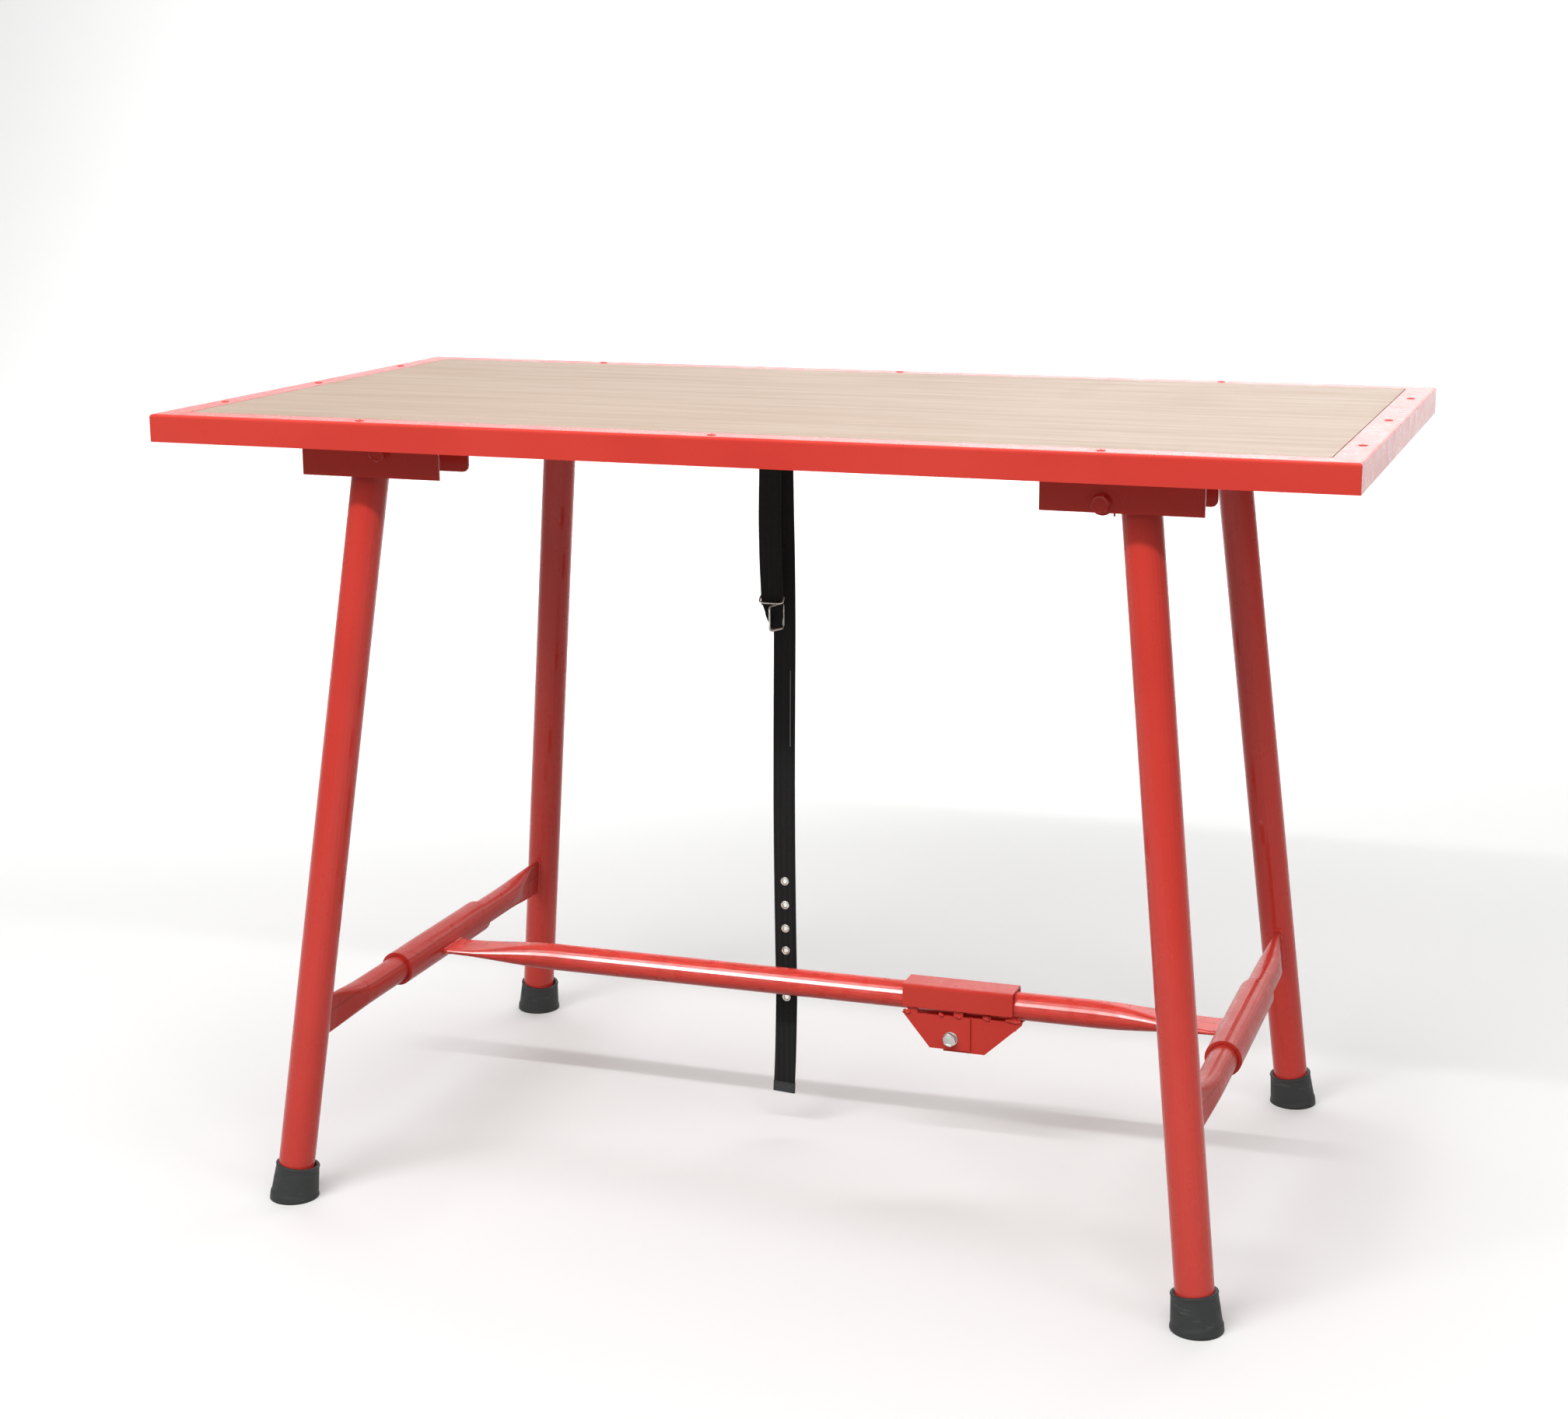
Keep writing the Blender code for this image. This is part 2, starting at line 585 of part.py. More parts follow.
def make_brace_tube(side, empty):
    """A tube from the butt joint to the sleeve, its outer end crushed level."""
    sign = END_SIGN[side]
    tip = sign * (abs(crossbar_u(side)) - SLEEVE_RADIUS - GAP)
    flat = tip - sign * BRACE_FLAT
    stations = [(BUTT[side], 0.0)] + crushing(flat - sign * BRACE_TAPER, flat) + [(tip, 1.0)]
    tube = crushed_tube(f"{side}_brace_tube", stations)
    lengthwise = Matrix.Rotation(math.pi / 2, 4, "Y")   # local Z to +u, local X to -w
    tube.matrix_world = brace_frame() @ lengthwise
    finish(tube, RED, empty)


def plate_outline(corners, tabs):
    """The plate's corners, with tabs standing up from its top edge (last to first corner)."""
    top, *spans = tabs
    raised = [(u, w) for low, high in spans
              for u, w in ((high, PLATE_TOP), (high, top), (low, top), (low, PLATE_TOP))]
    return corners + raised


def make_hinge_plates(side, outline, empty, bolt_cutter):
    for row, face in (("front", -1), ("rear", 1)):
        plate = outline_solid(f"{side}_{row}_hinge_plate", [outline], SHEET)
        middle = face * (PLATE_FACE[side] - SHEET / 2)
        plate.matrix_world = brace_frame() @ at(0, middle, 0, LEVEL_Y)
        boolean(plate, bolt_cutter)
        finish(plate, RED, empty)


def make_hinge_bolt(empty):
    """The bolt stays with the left half; the right half's plates turn on it."""
    half = PLATE_FACE["left"] + GAP
    length = 2 * half + BOLT_HEAD + THREAD_END
    bolt = hex_bolt("hinge_bolt", BOLT_HEX, BOLT_HEAD, BOLT_SHANK, length)
    bolt.matrix_world = brace_frame() @ at(0, -half, -BOLT_DROP, LEVEL_Y)
    finish(bolt, ZINC, empty)
    nut = outline_solid("hinge_nut", [hexagon(BOLT_HEX), circle(BOLT_SHANK + GAP, 20)], BOLT_HEAD)
    nut.matrix_world = brace_frame() @ at(0, half + BOLT_HEAD / 2, -BOLT_DROP, LEVEL_Y)
    finish(nut, ZINC, empty)


def make_lock_channel(empty):
    """A channel fixed over the right tube; the left tube drops out of its open side."""
    outline = channel_outline(LOCK_WIDTH, LOCK_TOP - LOCK_FOOT, SHEET, 0.0035)
    channel = outline_solid("lock_channel", [outline], LOCK_END - LOCK_START)
    channel.data.transform(LEVEL_X)
    channel.matrix_world = brace_frame() @ at((LOCK_START + LOCK_END) / 2, 0, LOCK_TOP)
    finish(channel, RED, empty)


def make_brace(leg_pivots):
    cutter = outline_solid("hinge_bolt_cutter", [circle(BOLT_SHANK + GAP, 20)], LOCK_WIDTH)
    cutter.matrix_world = brace_frame() @ at(0, 0, -BOLT_DROP, LEVEL_Y)
    as_cutter(cutter)
    outlines = {"left": plate_outline(LEFT_PLATE, LEFT_TABS),
                "right": plate_outline(RIGHT_PLATE, RIGHT_TABS)}
    empties = {}
    for side, outline in outlines.items():
        empty = empties[side] = joint_empty(f"{side}_brace_pivot", *CROSSBAR[side])
        hang_from(empty, leg_pivots[side])
        make_sleeve(side, empty)
        make_brace_tube(side, empty)
        make_hinge_plates(side, outline, empty, cutter)
    make_hinge_bolt(empties["left"])
    make_lock_channel(empties["right"])


# ---------------------------------------------------------------- strap
def make_strand(name, x, y, foot, thickness):
    half = WEBBING_WIDTH / 2
    section = [(-half, -thickness / 2), (half, -thickness / 2), (half, thickness / 2),
               (-half, thickness / 2)]
    strand = outline_solid(name, [section], STRAP_TOP - foot)
    strand.location = (x, y, (STRAP_TOP + foot) / 2)
    finish(strand, WEB, smooth=False)


def make_strap():
    """The webbing's two strands, hung from the panel's underside, and the wire fittings."""
    make_strand("strap_long_strand", STRAP_LONG_X, STRAP_LONG_Y, STRAP_TIP, WEBBING)
    make_strand("strap_short_strand", STRAP_SHORT_X, STRAP_SHORT_Y, STRAP_FOLD, 2 * WEBBING)
    slide = wire_loop("strap_slide", SLIDE_SIZE, 0.0025, WIRE)
    slide.matrix_world = at(STRAP_SHORT_X, STRAP_SHORT_Y, SLIDE_HEIGHT, LEVEL_Y)
    finish(slide, WIRE_STEEL)
    buckle = wire_loop("strap_buckle", BUCKLE_SIZE, 0.003, WIRE)
    buckle.matrix_world = at(*BUCKLE_AT, Matrix.Rotation(BUCKLE_TURN, 4, "Z"))
    finish(buckle, WIRE_STEEL)


def build():
    bolt_cutters, bush_cutters = make_pivot_cutters()
    make_rails()
    make_panel()
    make_panel_screws()
    make_brackets(bolt_cutters)
    leg_pivots = {side: make_leg_frame(side, bush_cutters[side]) for side in END_SIGN}
    make_brace(leg_pivots)
    make_strap()


build()
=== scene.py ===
"""Visual model of a folding steel workbench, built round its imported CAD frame.

Painted steel, timber, rubber and webbing materials go on the CAD nodes. Weld beads, spatter,
screws, bolts, feet and the strap are pieces of their own.
"""
import json
import math
import random

import bmesh
import bpy
import numpy as np
from mathutils import Matrix, Vector
from mathutils.bvhtree import BVHTree


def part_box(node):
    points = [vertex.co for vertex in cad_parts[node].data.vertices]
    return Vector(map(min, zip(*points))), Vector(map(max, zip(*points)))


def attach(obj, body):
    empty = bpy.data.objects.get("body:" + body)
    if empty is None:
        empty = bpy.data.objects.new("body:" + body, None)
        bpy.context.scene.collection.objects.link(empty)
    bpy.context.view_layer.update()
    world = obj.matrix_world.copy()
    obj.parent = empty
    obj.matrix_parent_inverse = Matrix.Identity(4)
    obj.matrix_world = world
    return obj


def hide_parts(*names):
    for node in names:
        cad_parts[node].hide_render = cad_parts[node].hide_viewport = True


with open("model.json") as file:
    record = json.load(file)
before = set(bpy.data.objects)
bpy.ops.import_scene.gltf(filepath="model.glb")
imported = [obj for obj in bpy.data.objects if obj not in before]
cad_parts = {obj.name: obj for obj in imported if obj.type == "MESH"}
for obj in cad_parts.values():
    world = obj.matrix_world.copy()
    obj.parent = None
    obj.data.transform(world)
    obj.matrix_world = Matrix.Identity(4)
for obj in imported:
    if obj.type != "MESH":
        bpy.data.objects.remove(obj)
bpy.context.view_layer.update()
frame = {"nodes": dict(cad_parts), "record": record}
NODES = frame["nodes"]
SCENE = bpy.context.scene
SCENE.view_settings.view_transform = "Standard"

SIDES = ("left", "right")
ROWS = ("front", "rear")
DICE = random.Random(7)

ROUND = 2 * math.pi

# sizes shared with the CAD, in metres
LEG_RADIUS = 0.019
BRACE_SLOPE, BOLT_DROP = math.radians(0.455), 0.0403
# each side's tabs: height of their tops, how far out the weld lies, and the tabs' ends
HINGE_TABS = (("left", -0.0098, 0.0132, ((0.0034, 0.0137), (-0.0484, -0.0372))),
              ("right", -0.0125, 0.0108, ((0.0612, 0.0725), (0.0344, 0.0439))))
PLATE_TOP = -0.0140         # height of the plates' upper edges, from the brace's axis
# each side's beads along the plates' upper edges: how far out, and where each one runs
EDGE_BEADS = (("left", 0.0145, ((-0.0530, -0.0450), (-0.0130, -0.0080), (0.0045, 0.0120))),
              ("right", 0.0117, ((0.0350, 0.0425), (0.0600, 0.0770))))
WIDTH, THICK, WIRE = 0.025, 0.0014, 0.001         # webbing and the slide's wire radius
BEAD_STEP = 0.0006          # between the rings of a weld bead
BUSH_ROOM = 0.002           # no spatter this close to a bush
# each strand's sideways wander: (height, shift) pairs from its anchor down
LONG_WANDER = ((0.8094, -0.0012), (0.70, -0.0008), (0.58, 0.0005), (0.45, 0.0008),
               (0.30, 0.0010), (0.16, 0.0010), (0.09, -0.0012), (0.044, -0.0033))
SHORT_WANDER = ((0.8094, 0.0008), (0.745, 0.0), (0.70, -0.0004), (0.65, 0.0), (0.608, 0.0014))
FOLD_DROP = 0.0035          # the folded end hangs this far below its slide
RIDGE_HEIGHTS = (0.447, 0.534)      # where the ridge, pale as painted highlight, starts and ends
EYELETS = (0.2947, 0.2671, 0.2396, 0.2136, 0.186, 0.1584)      # their heights


# ---------------------------------------------------------------- camera, light and stage
CAMERA_AT = (0.8618, -2.5255, 1.1309)
CAMERA_TURN = (76.6786, 0.2732, 19.5133)        # degrees
CAMERA_LENS = 58.784

camera_data = bpy.data.cameras.new("camera")
camera_data.lens = CAMERA_LENS
camera = bpy.data.objects.new("camera", camera_data)
camera.location = CAMERA_AT
camera.rotation_euler = [math.radians(a) for a in CAMERA_TURN]
SCENE.collection.objects.link(camera)
SCENE.camera = camera


def area_light(name, place, target, size, power):
    data = bpy.data.lights.new(name, "AREA")
    data.shape, data.size, data.size_y, data.energy = "RECTANGLE", size[0], size[1], power
    lamp = bpy.data.objects.new(name, data)
    lamp.location = place
    aim = Vector(target) - Vector(place)
    lamp.rotation_euler = aim.to_track_quat("-Z", "Y").to_euler()
    SCENE.collection.objects.link(lamp)
    return lamp


area_light("overhead_softbox", (0.2, -0.1, 3.6), (0, 0, 0.4), (3.2, 1.8), 33)
area_light("front_softbox", (-1.3, -3.0, 3.1), (0, 0, 0.4), (2.4, 1.4), 49)
area_light("right_softbox", (3.4, -1.4, 2.6), (0, 0, 0.4), (1.6, 1.8), 22)
area_light("strip", (0.2, -2.0, 2.58), (0.1, 0, 0.19), (3.6, 0.06), 46)
gleam = area_light("gleam", (-1.28, -2.45, 2.09), (-1.28, 0, 0.19), (0.9, 0.12), 1500)
gleam.visible_diffuse = False       # only the long gleam along the brace comes from it
gleam_receivers = bpy.data.collections.new("gleam_receivers")
for side in SIDES:
    gleam_receivers.objects.link(NODES[f"{side}_brace_tube"])
gleam.light_linking.receiver_collection = gleam_receivers
area_light("back_fill", (0.5, 3.4, 2.2), (0, 0, 0.6), (3.0, 2.0), 4)
area_light("backdrop_wash", (-0.6, 3.4, 4.4), (-3.0, 7.0, 2.4), (8.0, 1.5), 430)
area_light("floor_wash", (-0.6, 2.9, 3.8), (-1.2, 4.2, 0.0), (6.0, 1.6), 120)

world = bpy.data.worlds.new("world")
SCENE.world = world
world.use_nodes = True
world.node_tree.nodes["Background"].inputs["Color"].default_value = (1.0, 1.0, 1.0, 1.0)
world.node_tree.nodes["Background"].inputs["Strength"].default_value = 0.30


# ---------------------------------------------------------------- shader helpers
class Shader:
    """A material's node tree, with short ways to add and join nodes."""

    def __init__(self, name):
        self.material = bpy.data.materials.new(name)
        self.material.use_nodes = True
        self.tree = self.material.node_tree
        self.surface = self.tree.nodes["Principled BSDF"]
        self.place = self.node("ShaderNodeTexCoord").outputs["Object"]

    def node(self, kind, **settings):
        made = self.tree.nodes.new(kind)
        for key, value in settings.items():
            setattr(made, key, value)
        return made

    def join(self, source, socket):
        self.tree.links.new(source, socket)

    def fill(self, socket, value):
        if isinstance(value, bpy.types.NodeSocket):
            self.join(value, socket)
        else:
            socket.default_value = value

    def math(self, operation, *values):
        made = self.node("ShaderNodeMath", operation=operation)
        for socket, value in zip(made.inputs, values):
            self.fill(socket, value)
        return made.outputs[0]

    def vector(self, operation, *values, output=0):
        made = self.node("ShaderNodeVectorMath", operation=operation)
        for socket, value in zip(made.inputs, values):
            self.fill(socket, value)
        return made.outputs[output]

    def scaled(self, factors):
        return self.vector("MULTIPLY", self.place, factors)

    def noise(self, scale, detail=2.0, roughness=0.5, place=None, distortion=0.0):
        made = self.node("ShaderNodeTexNoise")
        self.join(place or self.place, made.inputs["Vector"])
        for key, value in (("Scale", scale), ("Detail", detail), ("Roughness", roughness),
                           ("Distortion", distortion)):
            made.inputs[key].default_value = value
        return made.outputs["Fac"]

    def cells(self, scale, place=None):
        made = self.node("ShaderNodeTexVoronoi")
        self.join(place or self.place, made.inputs["Vector"])
        made.inputs["Scale"].default_value = scale
        return made.outputs["Distance"]

    def ramp(self, value, low, high, start=0.0, end=1.0):
        """value mapped from low..high to start..end, held at the ends."""
        made = self.node("ShaderNodeMapRange")
        made.interpolation_type = "SMOOTHSTEP"
        for key, setting in (("Value", value), ("From Min", low), ("From Max", high),
                             ("To Min", start), ("To Max", end)):
            self.fill(made.inputs[key], setting)
        return made.outputs["Result"]

    def mix(self, factor, first, second):
        made = self.node("ShaderNodeMix", data_type="RGBA")
        self.fill(made.inputs["Factor"], factor)
        for socket, colour in ((made.inputs[6], first), (made.inputs[7], second)):
            self.fill(socket, (*colour, 1.0) if isinstance(colour, tuple) else colour)
        return made.outputs[2]

    def bump(self, height, distance, strength=1.0, under=None):
        made = self.node("ShaderNodeBump")
        made.inputs["Distance"].default_value = distance
        made.inputs["Strength"].default_value = strength
        self.join(height, made.inputs["Height"])
        if under is not None:
            self.join(under, made.inputs["Normal"])
        return made.outputs["Normal"]

    def finish(self, colour, roughness, normal=None, **extra):
        self.fill(self.surface.inputs["Base Color"],
                  (*colour, 1.0) if isinstance(colour, tuple) else colour)
        self.fill(self.surface.inputs["Roughness"], roughness)
        if normal is not None:
            self.join(normal, self.surface.inputs["Normal"])
        for key, value in extra.items():
            self.fill(self.surface.inputs[key.replace("_", " ")], value)
        return self.material


# ---------------------------------------------------------------- materials
RED_DEEP, RED, RED_PALE = (0.54, 0.032, 0.022), (0.69, 0.048, 0.033), (0.72, 0.060, 0.042)


def tube_axis(node):
    """The middle point and direction of a tube, from its own vertices."""
    points = np.array([v.co for v in NODES[node].data.vertices], float)
    centre = (points.min(0) + points.max(0)) / 2
    direction = np.linalg.svd(points - points.mean(0), full_matrices=False)[2][0]
    return Vector(centre), Vector(direction)


def seam_and_reflection_mask(shader, node, seam_side):
    """1 along the tube's welded seam, on the side that faces the given way; paint() uses it for the
    seam's ridge and for a dark line of painted reflection.
    """
    centre, direction = tube_axis(node)
    seam_side = Vector(seam_side)
    across = (seam_side - seam_side.dot(direction) * direction).normalized()
    other = direction.cross(across)
    from_centre = shader.vector("SUBTRACT", shader.place, tuple(centre))
    out = shader.vector("DOT_PRODUCT", from_centre, tuple(across), output=1)
    sideways = shader.vector("DOT_PRODUCT", from_centre, tuple(other), output=1)
    wander = shader.ramp(shader.noise(4.0, 1.0), 0.2, 0.8, -0.0012, 0.0012)
    distance = shader.math("ABSOLUTE", shader.math("ADD", sideways, wander))
    line = shader.ramp(distance, 0.0002, 0.0012, 1.0, 0.0)
    return shader.math("MULTIPLY", line, shader.ramp(out, 0.0, 0.004))


COAT = 0.38                 # weight of the clear gloss on most of the paint


def paint(name, seam=None, peel=1.0, painted_shade=1.0, coat=COAT):
    """Red gloss enamel: slow colour drift, orange peel, dust nibs and a few dark nicks. A shade
    factor below 1 darkens it as painted shade, and a seam adds a ridge and a dark line of painted
    reflection.
    """
    shader = Shader(name)
    # painted shade: every tone is darkened by the shade factor, for parts that sit in the top's
    # shade
    deep, red, pale = (tuple(c * painted_shade for c in tone) for tone in (RED_DEEP, RED, RED_PALE))
    drift = shader.ramp(shader.noise(3.1, 3.0, 0.6), 0.35, 0.7)
    colour = shader.mix(drift, red, pale)
    thin = shader.ramp(shader.noise(9.0, 2.0, 0.5), 0.45, 0.80, 0.0, 0.25)
    colour = shader.mix(thin, colour, deep)
    specks = shader.math("MULTIPLY", shader.ramp(shader.cells(31.0), 0.012, 0.020, 1.0, 0.0),
                         shader.ramp(shader.noise(5.0, 1.0), 0.58, 0.64))
    colour = shader.mix(shader.math("MULTIPLY", specks, 0.6), colour, (0.16, 0.014, 0.010))
    waves = shader.noise(310.0, 1.5, 0.4)
    normal = shader.bump(waves, 0.00004 * peel)
    if seam:
        line = seam_and_reflection_mask(shader, *seam)
        # Along the seam the paint is darker: painted reflection, the dark gap between two reflected
        # lights. The bump below is the seam's real ridge.
        colour = shader.mix(shader.math("MULTIPLY", line, 0.45), colour, (0.26, 0.014, 0.010))
        normal = shader.bump(line, 0.00020, under=normal)
    rough = shader.ramp(shader.noise(55.0, 3.0), 0.3, 0.75, 0.26, 0.36)
    return shader.finish(colour, rough, normal, Coat_Weight=coat, Coat_Roughness=0.05,
                         Specular_IOR_Level=0.12)


TOP_HEIGHT = 0.83


def timber():
    """A pale sanded board with its grain along X, a faint stain and a few dark flecks."""
    shader = Shader("timber_board")
    along = shader.scaled((0.9, 16.0, 16.0))
    bands = shader.noise(5.0, 5.0, 0.55, along, 0.4)
    fibres = shader.noise(42.0, 3.0, 0.7, shader.scaled((0.5, 12.0, 12.0)))
    colour = shader.mix(shader.ramp(bands, 0.30, 0.72), (0.445, 0.318, 0.229),
                        (0.408, 0.285, 0.202))
    colour = shader.mix(shader.ramp(fibres, 0.50, 0.80, 0.0, 0.30), colour, (0.42, 0.285, 0.195))
    clouds = shader.ramp(shader.noise(2.6, 3.0, 0.5), 0.45, 0.72, 0.0, 0.30)
    colour = shader.mix(clouds, colour, (0.485, 0.360, 0.273))
    for middle, spread in (((0.245, 0.18), (0.020, 0.110)), ((0.38, 0.12), (0.030, 0.070))):
        offset = shader.vector("SUBTRACT", shader.place, (*middle, TOP_HEIGHT))
        offset = shader.vector("DIVIDE", offset, (*spread, 1.0))
        rim = shader.math("ADD", shader.vector("LENGTH", offset, output=1),
                          shader.ramp(shader.noise(24.0, 3.0), 0.2, 0.8, -0.35, 0.35))
        stain = shader.ramp(rim, 0.3, 1.25, 0.26, 0.0)
        colour = shader.mix(stain, colour, (0.38, 0.235, 0.145))
    flecks = shader.ramp(shader.cells(11.0, shader.scaled((1.0, 1.7, 1.0))), 0.014, 0.024, 1.0, 0.0)
    flecks = shader.math("MULTIPLY", flecks, shader.ramp(shader.noise(6.0, 1.0), 0.52, 0.60))
    colour = shader.mix(shader.math("MULTIPLY", flecks, 0.8), colour, (0.13, 0.07, 0.04))
    normal = shader.bump(fibres, 0.00012)
    normal = shader.bump(bands, 0.00010, under=normal)
    rough = shader.ramp(bands, 0.3, 0.7, 0.46, 0.60)
    return shader.finish(colour, rough, normal, Coat_Weight=0.08, Coat_Roughness=0.35)


def rubber():
    shader = Shader("moulded_rubber")
    dust = shader.ramp(shader.noise(60.0, 4.0, 0.6), 0.42, 0.75, 0.0, 0.45)
    colour = shader.mix(dust, (0.026, 0.028, 0.028), (0.052, 0.053, 0.052))
    scuffs = shader.ramp(shader.noise(30.0, 4.0, 0.7, shader.scaled((1, 1, 5))), 0.58, 0.72, 0, 0.5)
    colour = shader.mix(scuffs, colour, (0.13, 0.13, 0.125))
    normal = shader.bump(shader.noise(900.0, 2.0), 0.00010)
    return shader.finish(colour, shader.ramp(dust, 0.0, 0.45, 0.60, 0.80), normal)


def plated(name, colour, dull, roughness):
    shader = Shader(name)
    cloud = shader.ramp(shader.noise(160.0, 3.0, 0.6), 0.35, 0.72)
    tone = shader.mix(cloud, colour, dull)
    normal = shader.bump(shader.noise(700.0, 2.0), 0.00006)
    rough = shader.ramp(cloud, 0.0, 1.0, roughness, roughness + 0.16)
    return shader.finish(tone, rough, normal, Metallic=1.0)


TWILL_PITCH, WARP_PITCH = 0.0013, 0.0010


def webbing():
    """Black webbing: a fine herringbone weave, its raised threads slightly paler."""
    shader = Shader("black_webbing")
    split = shader.node("ShaderNodeSeparateXYZ")
    shader.join(shader.place, split.inputs[0])
    rib = shader.math("PINGPONG", shader.math("ADD", split.outputs[0], 10.0), 0.0032)
    slant = shader.math("ADD", split.outputs[2], rib)
    twill = shader.math("SINE", shader.math("MULTIPLY", slant, ROUND / TWILL_PITCH))
    warp = shader.math("SINE", shader.math("MULTIPLY", split.outputs[0], ROUND / WARP_PITCH))
    weave = shader.math("MULTIPLY", shader.math("ADD", twill, shader.math("MULTIPLY", warp, 0.6)),
                        0.5)
    fuzz = shader.noise(1500.0, 2.0)
    colour = shader.mix(shader.ramp(weave, -0.2, 0.8), (0.004, 0.004, 0.004), (0.012, 0.012, 0.012))
    colour = shader.mix(shader.ramp(fuzz, 0.60, 0.85, 0.0, 0.4), colour, (0.028, 0.028, 0.029))
    normal = shader.bump(weave, 0.00030)
    normal = shader.bump(fuzz, 0.00015, under=normal)
    return shader.finish(colour, 0.78, normal, Sheen_Weight=0.10, Sheen_Roughness=0.4,
                         Specular_IOR_Level=0.3)


def hem_tape():
    """The heat-sealed hem: greyer and flatter than the webbing."""
    shader = Shader("hem_tape")
    grain = shader.noise(420.0, 3.0, 0.6, shader.scaled((1.0, 1.0, 2.4)))
    colour = shader.mix(shader.ramp(grain, 0.3, 0.7), (0.020, 0.021, 0.023), (0.045, 0.046, 0.048))
    return shader.finish(colour, 0.62, shader.bump(grain, 0.00020))


def pale_floor():
    shader = Shader("pale_floor")
    tone = shader.mix(shader.noise(1.3, 2.0), (0.90, 0.90, 0.895), (0.93, 0.93, 0.925))
    return shader.finish(tone, 0.75)


PAINT = paint("red_enamel")
WELD_PAINT = paint("red_enamel_on_weld", peel=2.2)
# painted shade: the hinge plates and lock channel get slightly darker paint, as they sit under the
# top; less gloss too
HINGE_PAINT = paint("red_enamel_hinge", painted_shade=0.96, coat=0.10)
TIMBER, RUBBER, WEBBING, HEM = timber(), rubber(), webbing(), hem_tape()
ZINC = plated("zinc_plate", (0.66, 0.66, 0.64), (0.50, 0.51, 0.50), 0.30)
NICKEL = plated("nickel_wire", (0.74, 0.71, 0.66), (0.52, 0.49, 0.45), 0.20)
BRASSY = plated("eyelet_bore", (0.62, 0.50, 0.38), (0.40, 0.31, 0.23), 0.28)
# painted highlight: the ridge's pale grey stands for light caught on a fold of the webbing
RIDGE_HIGHLIGHT = Shader("ridge_painted_highlight").finish((0.16, 0.16, 0.16), 0.6)
UNDER_TABLE_PAINTED_SHADE = {"crossbar": 0.80, "sleeve": 0.80, "brace_tube": 0.88}    # painted shade: darker paint where the top shades these tubes
UNDER_COAT = {"crossbar": 0.08, "sleeve": 0.08, "brace_tube": 0.22}     # less gloss
SEAM_SIDE = {"leg": (0.2, 1.0, 0.0), "crossbar": (0.70, -0.35, 0.62),
             "sleeve": (0.70, -0.35, 0.62), "brace_tube": (0.0, 0.8, 0.6)}


def dress(node, material, angle=32):
    """Give a CAD node its material, and smooth its round faces."""
    piece = NODES[node]
    piece.data.materials.clear()
    piece.data.materials.append(material)
    piece.data.shade_smooth()
    piece.data.set_sharp_from_angle(angle=math.radians(angle))


def soften(node, width):
    """Roll the arrises of a sheet-metal node over, as its paint does."""
    bevel = NODES[node].modifiers.new("arris", "BEVEL")
    bevel.width, bevel.segments = width, 2
    bevel.limit_method, bevel.angle_limit = "ANGLE", math.radians(40)
    bevel.use_clamp_overlap = True


def dress_nodes():
    slots = {p["node"]: p["material_slot"] for p in frame["record"]["subparts"]}
    by_slot = {"red_paint": PAINT, "timber": TIMBER, "rubber": RUBBER, "zinc": ZINC,
               "webbing": WEBBING, "wire_steel": NICKEL}
    for node, slot in slots.items():
        kind = next((k for k in SEAM_SIDE if node.endswith(k)), None)
        material = by_slot[slot]
        if kind:
            # crossbars, sleeves and brace tubes get a darker copy of the paint: painted shade for
            # where the top shades them
            material = paint(f"red_enamel_{node}", (node, SEAM_SIDE[kind]),
                             painted_shade=UNDER_TABLE_PAINTED_SHADE.get(kind, 1.0),
                             coat=UNDER_COAT.get(kind, COAT))
        # the hinge plates and lock channel take the paint with a little painted shade
        elif node.endswith(("hinge_plate", "lock_channel")):
            material = HINGE_PAINT
        dress(node, material)
    for node in slots:
        if node.endswith(("_rail", "_bracket", "_plate", "lock_channel", "_cross_member")):
            soften(node, 0.0005)


# ---------------------------------------------------------------- geometry helpers
def box(node):
    """The low and high corner of a CAD node's box."""
    low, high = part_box(node)
    return Vector(low), Vector(high)


def shares(start, end, steps=8):
    """Evenly spaced numbers from start to end."""
    return [start + (end - start) * k / steps for k in range(steps + 1)]


def piece(name, verts, faces, material, body, slot, smooth=True, angle=40):
    mesh = bpy.data.meshes.new(name)
    mesh.from_pydata([tuple(v) for v in verts], [], faces)
    mesh.validate()
    shape = bmesh.new()
    shape.from_mesh(mesh)
    bmesh.ops.recalc_face_normals(shape, faces=shape.faces)
    shape.to_mesh(mesh)
    shape.free()
    mesh.materials.append(material)
    if smooth:
        mesh.shade_smooth()
        mesh.set_sharp_from_angle(angle=math.radians(angle))
    obj = bpy.data.objects.new(name, mesh)
    SCENE.collection.objects.link(obj)
    if body:
        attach(obj, body)
    return obj


def grid_faces(rows, columns, closed_columns=True, closed_rows=False):
    faces = []
    for r in range(rows if closed_rows else rows - 1):
        for c in range(columns if closed_columns else columns - 1):
            below, after = (r + 1) % rows, (c + 1) % columns
            faces.append((r * columns + c, r * columns + after,
                          below * columns + after, below * columns + c))
    return faces


def turned(profile, sides):
    verts = []
    for radius, height in profile:
        for k in range(sides):
            angle = ROUND * k / sides
            verts.append(Vector((radius * math.cos(angle), radius * math.sin(angle), height)))
    return verts


def end_caps(rows, columns):
    """The two faces that close a grid's first and last row."""
    return [tuple(range(columns)), tuple((rows - 1) * columns + k for k in range(columns))]


def lathe(profile, sides=48):
    """Vertices and faces of a profile of (radius, height) points turned about Z."""
    verts, faces = turned(profile, sides), grid_faces(len(profile), sides)
    return verts, faces + end_caps(len(profile), sides)


def ring_lathe(profile, sides=40):
    """A closed profile turned about Z: a ring with a hole through it."""
    return turned(profile, sides), grid_faces(len(profile), sides, closed_rows=True)


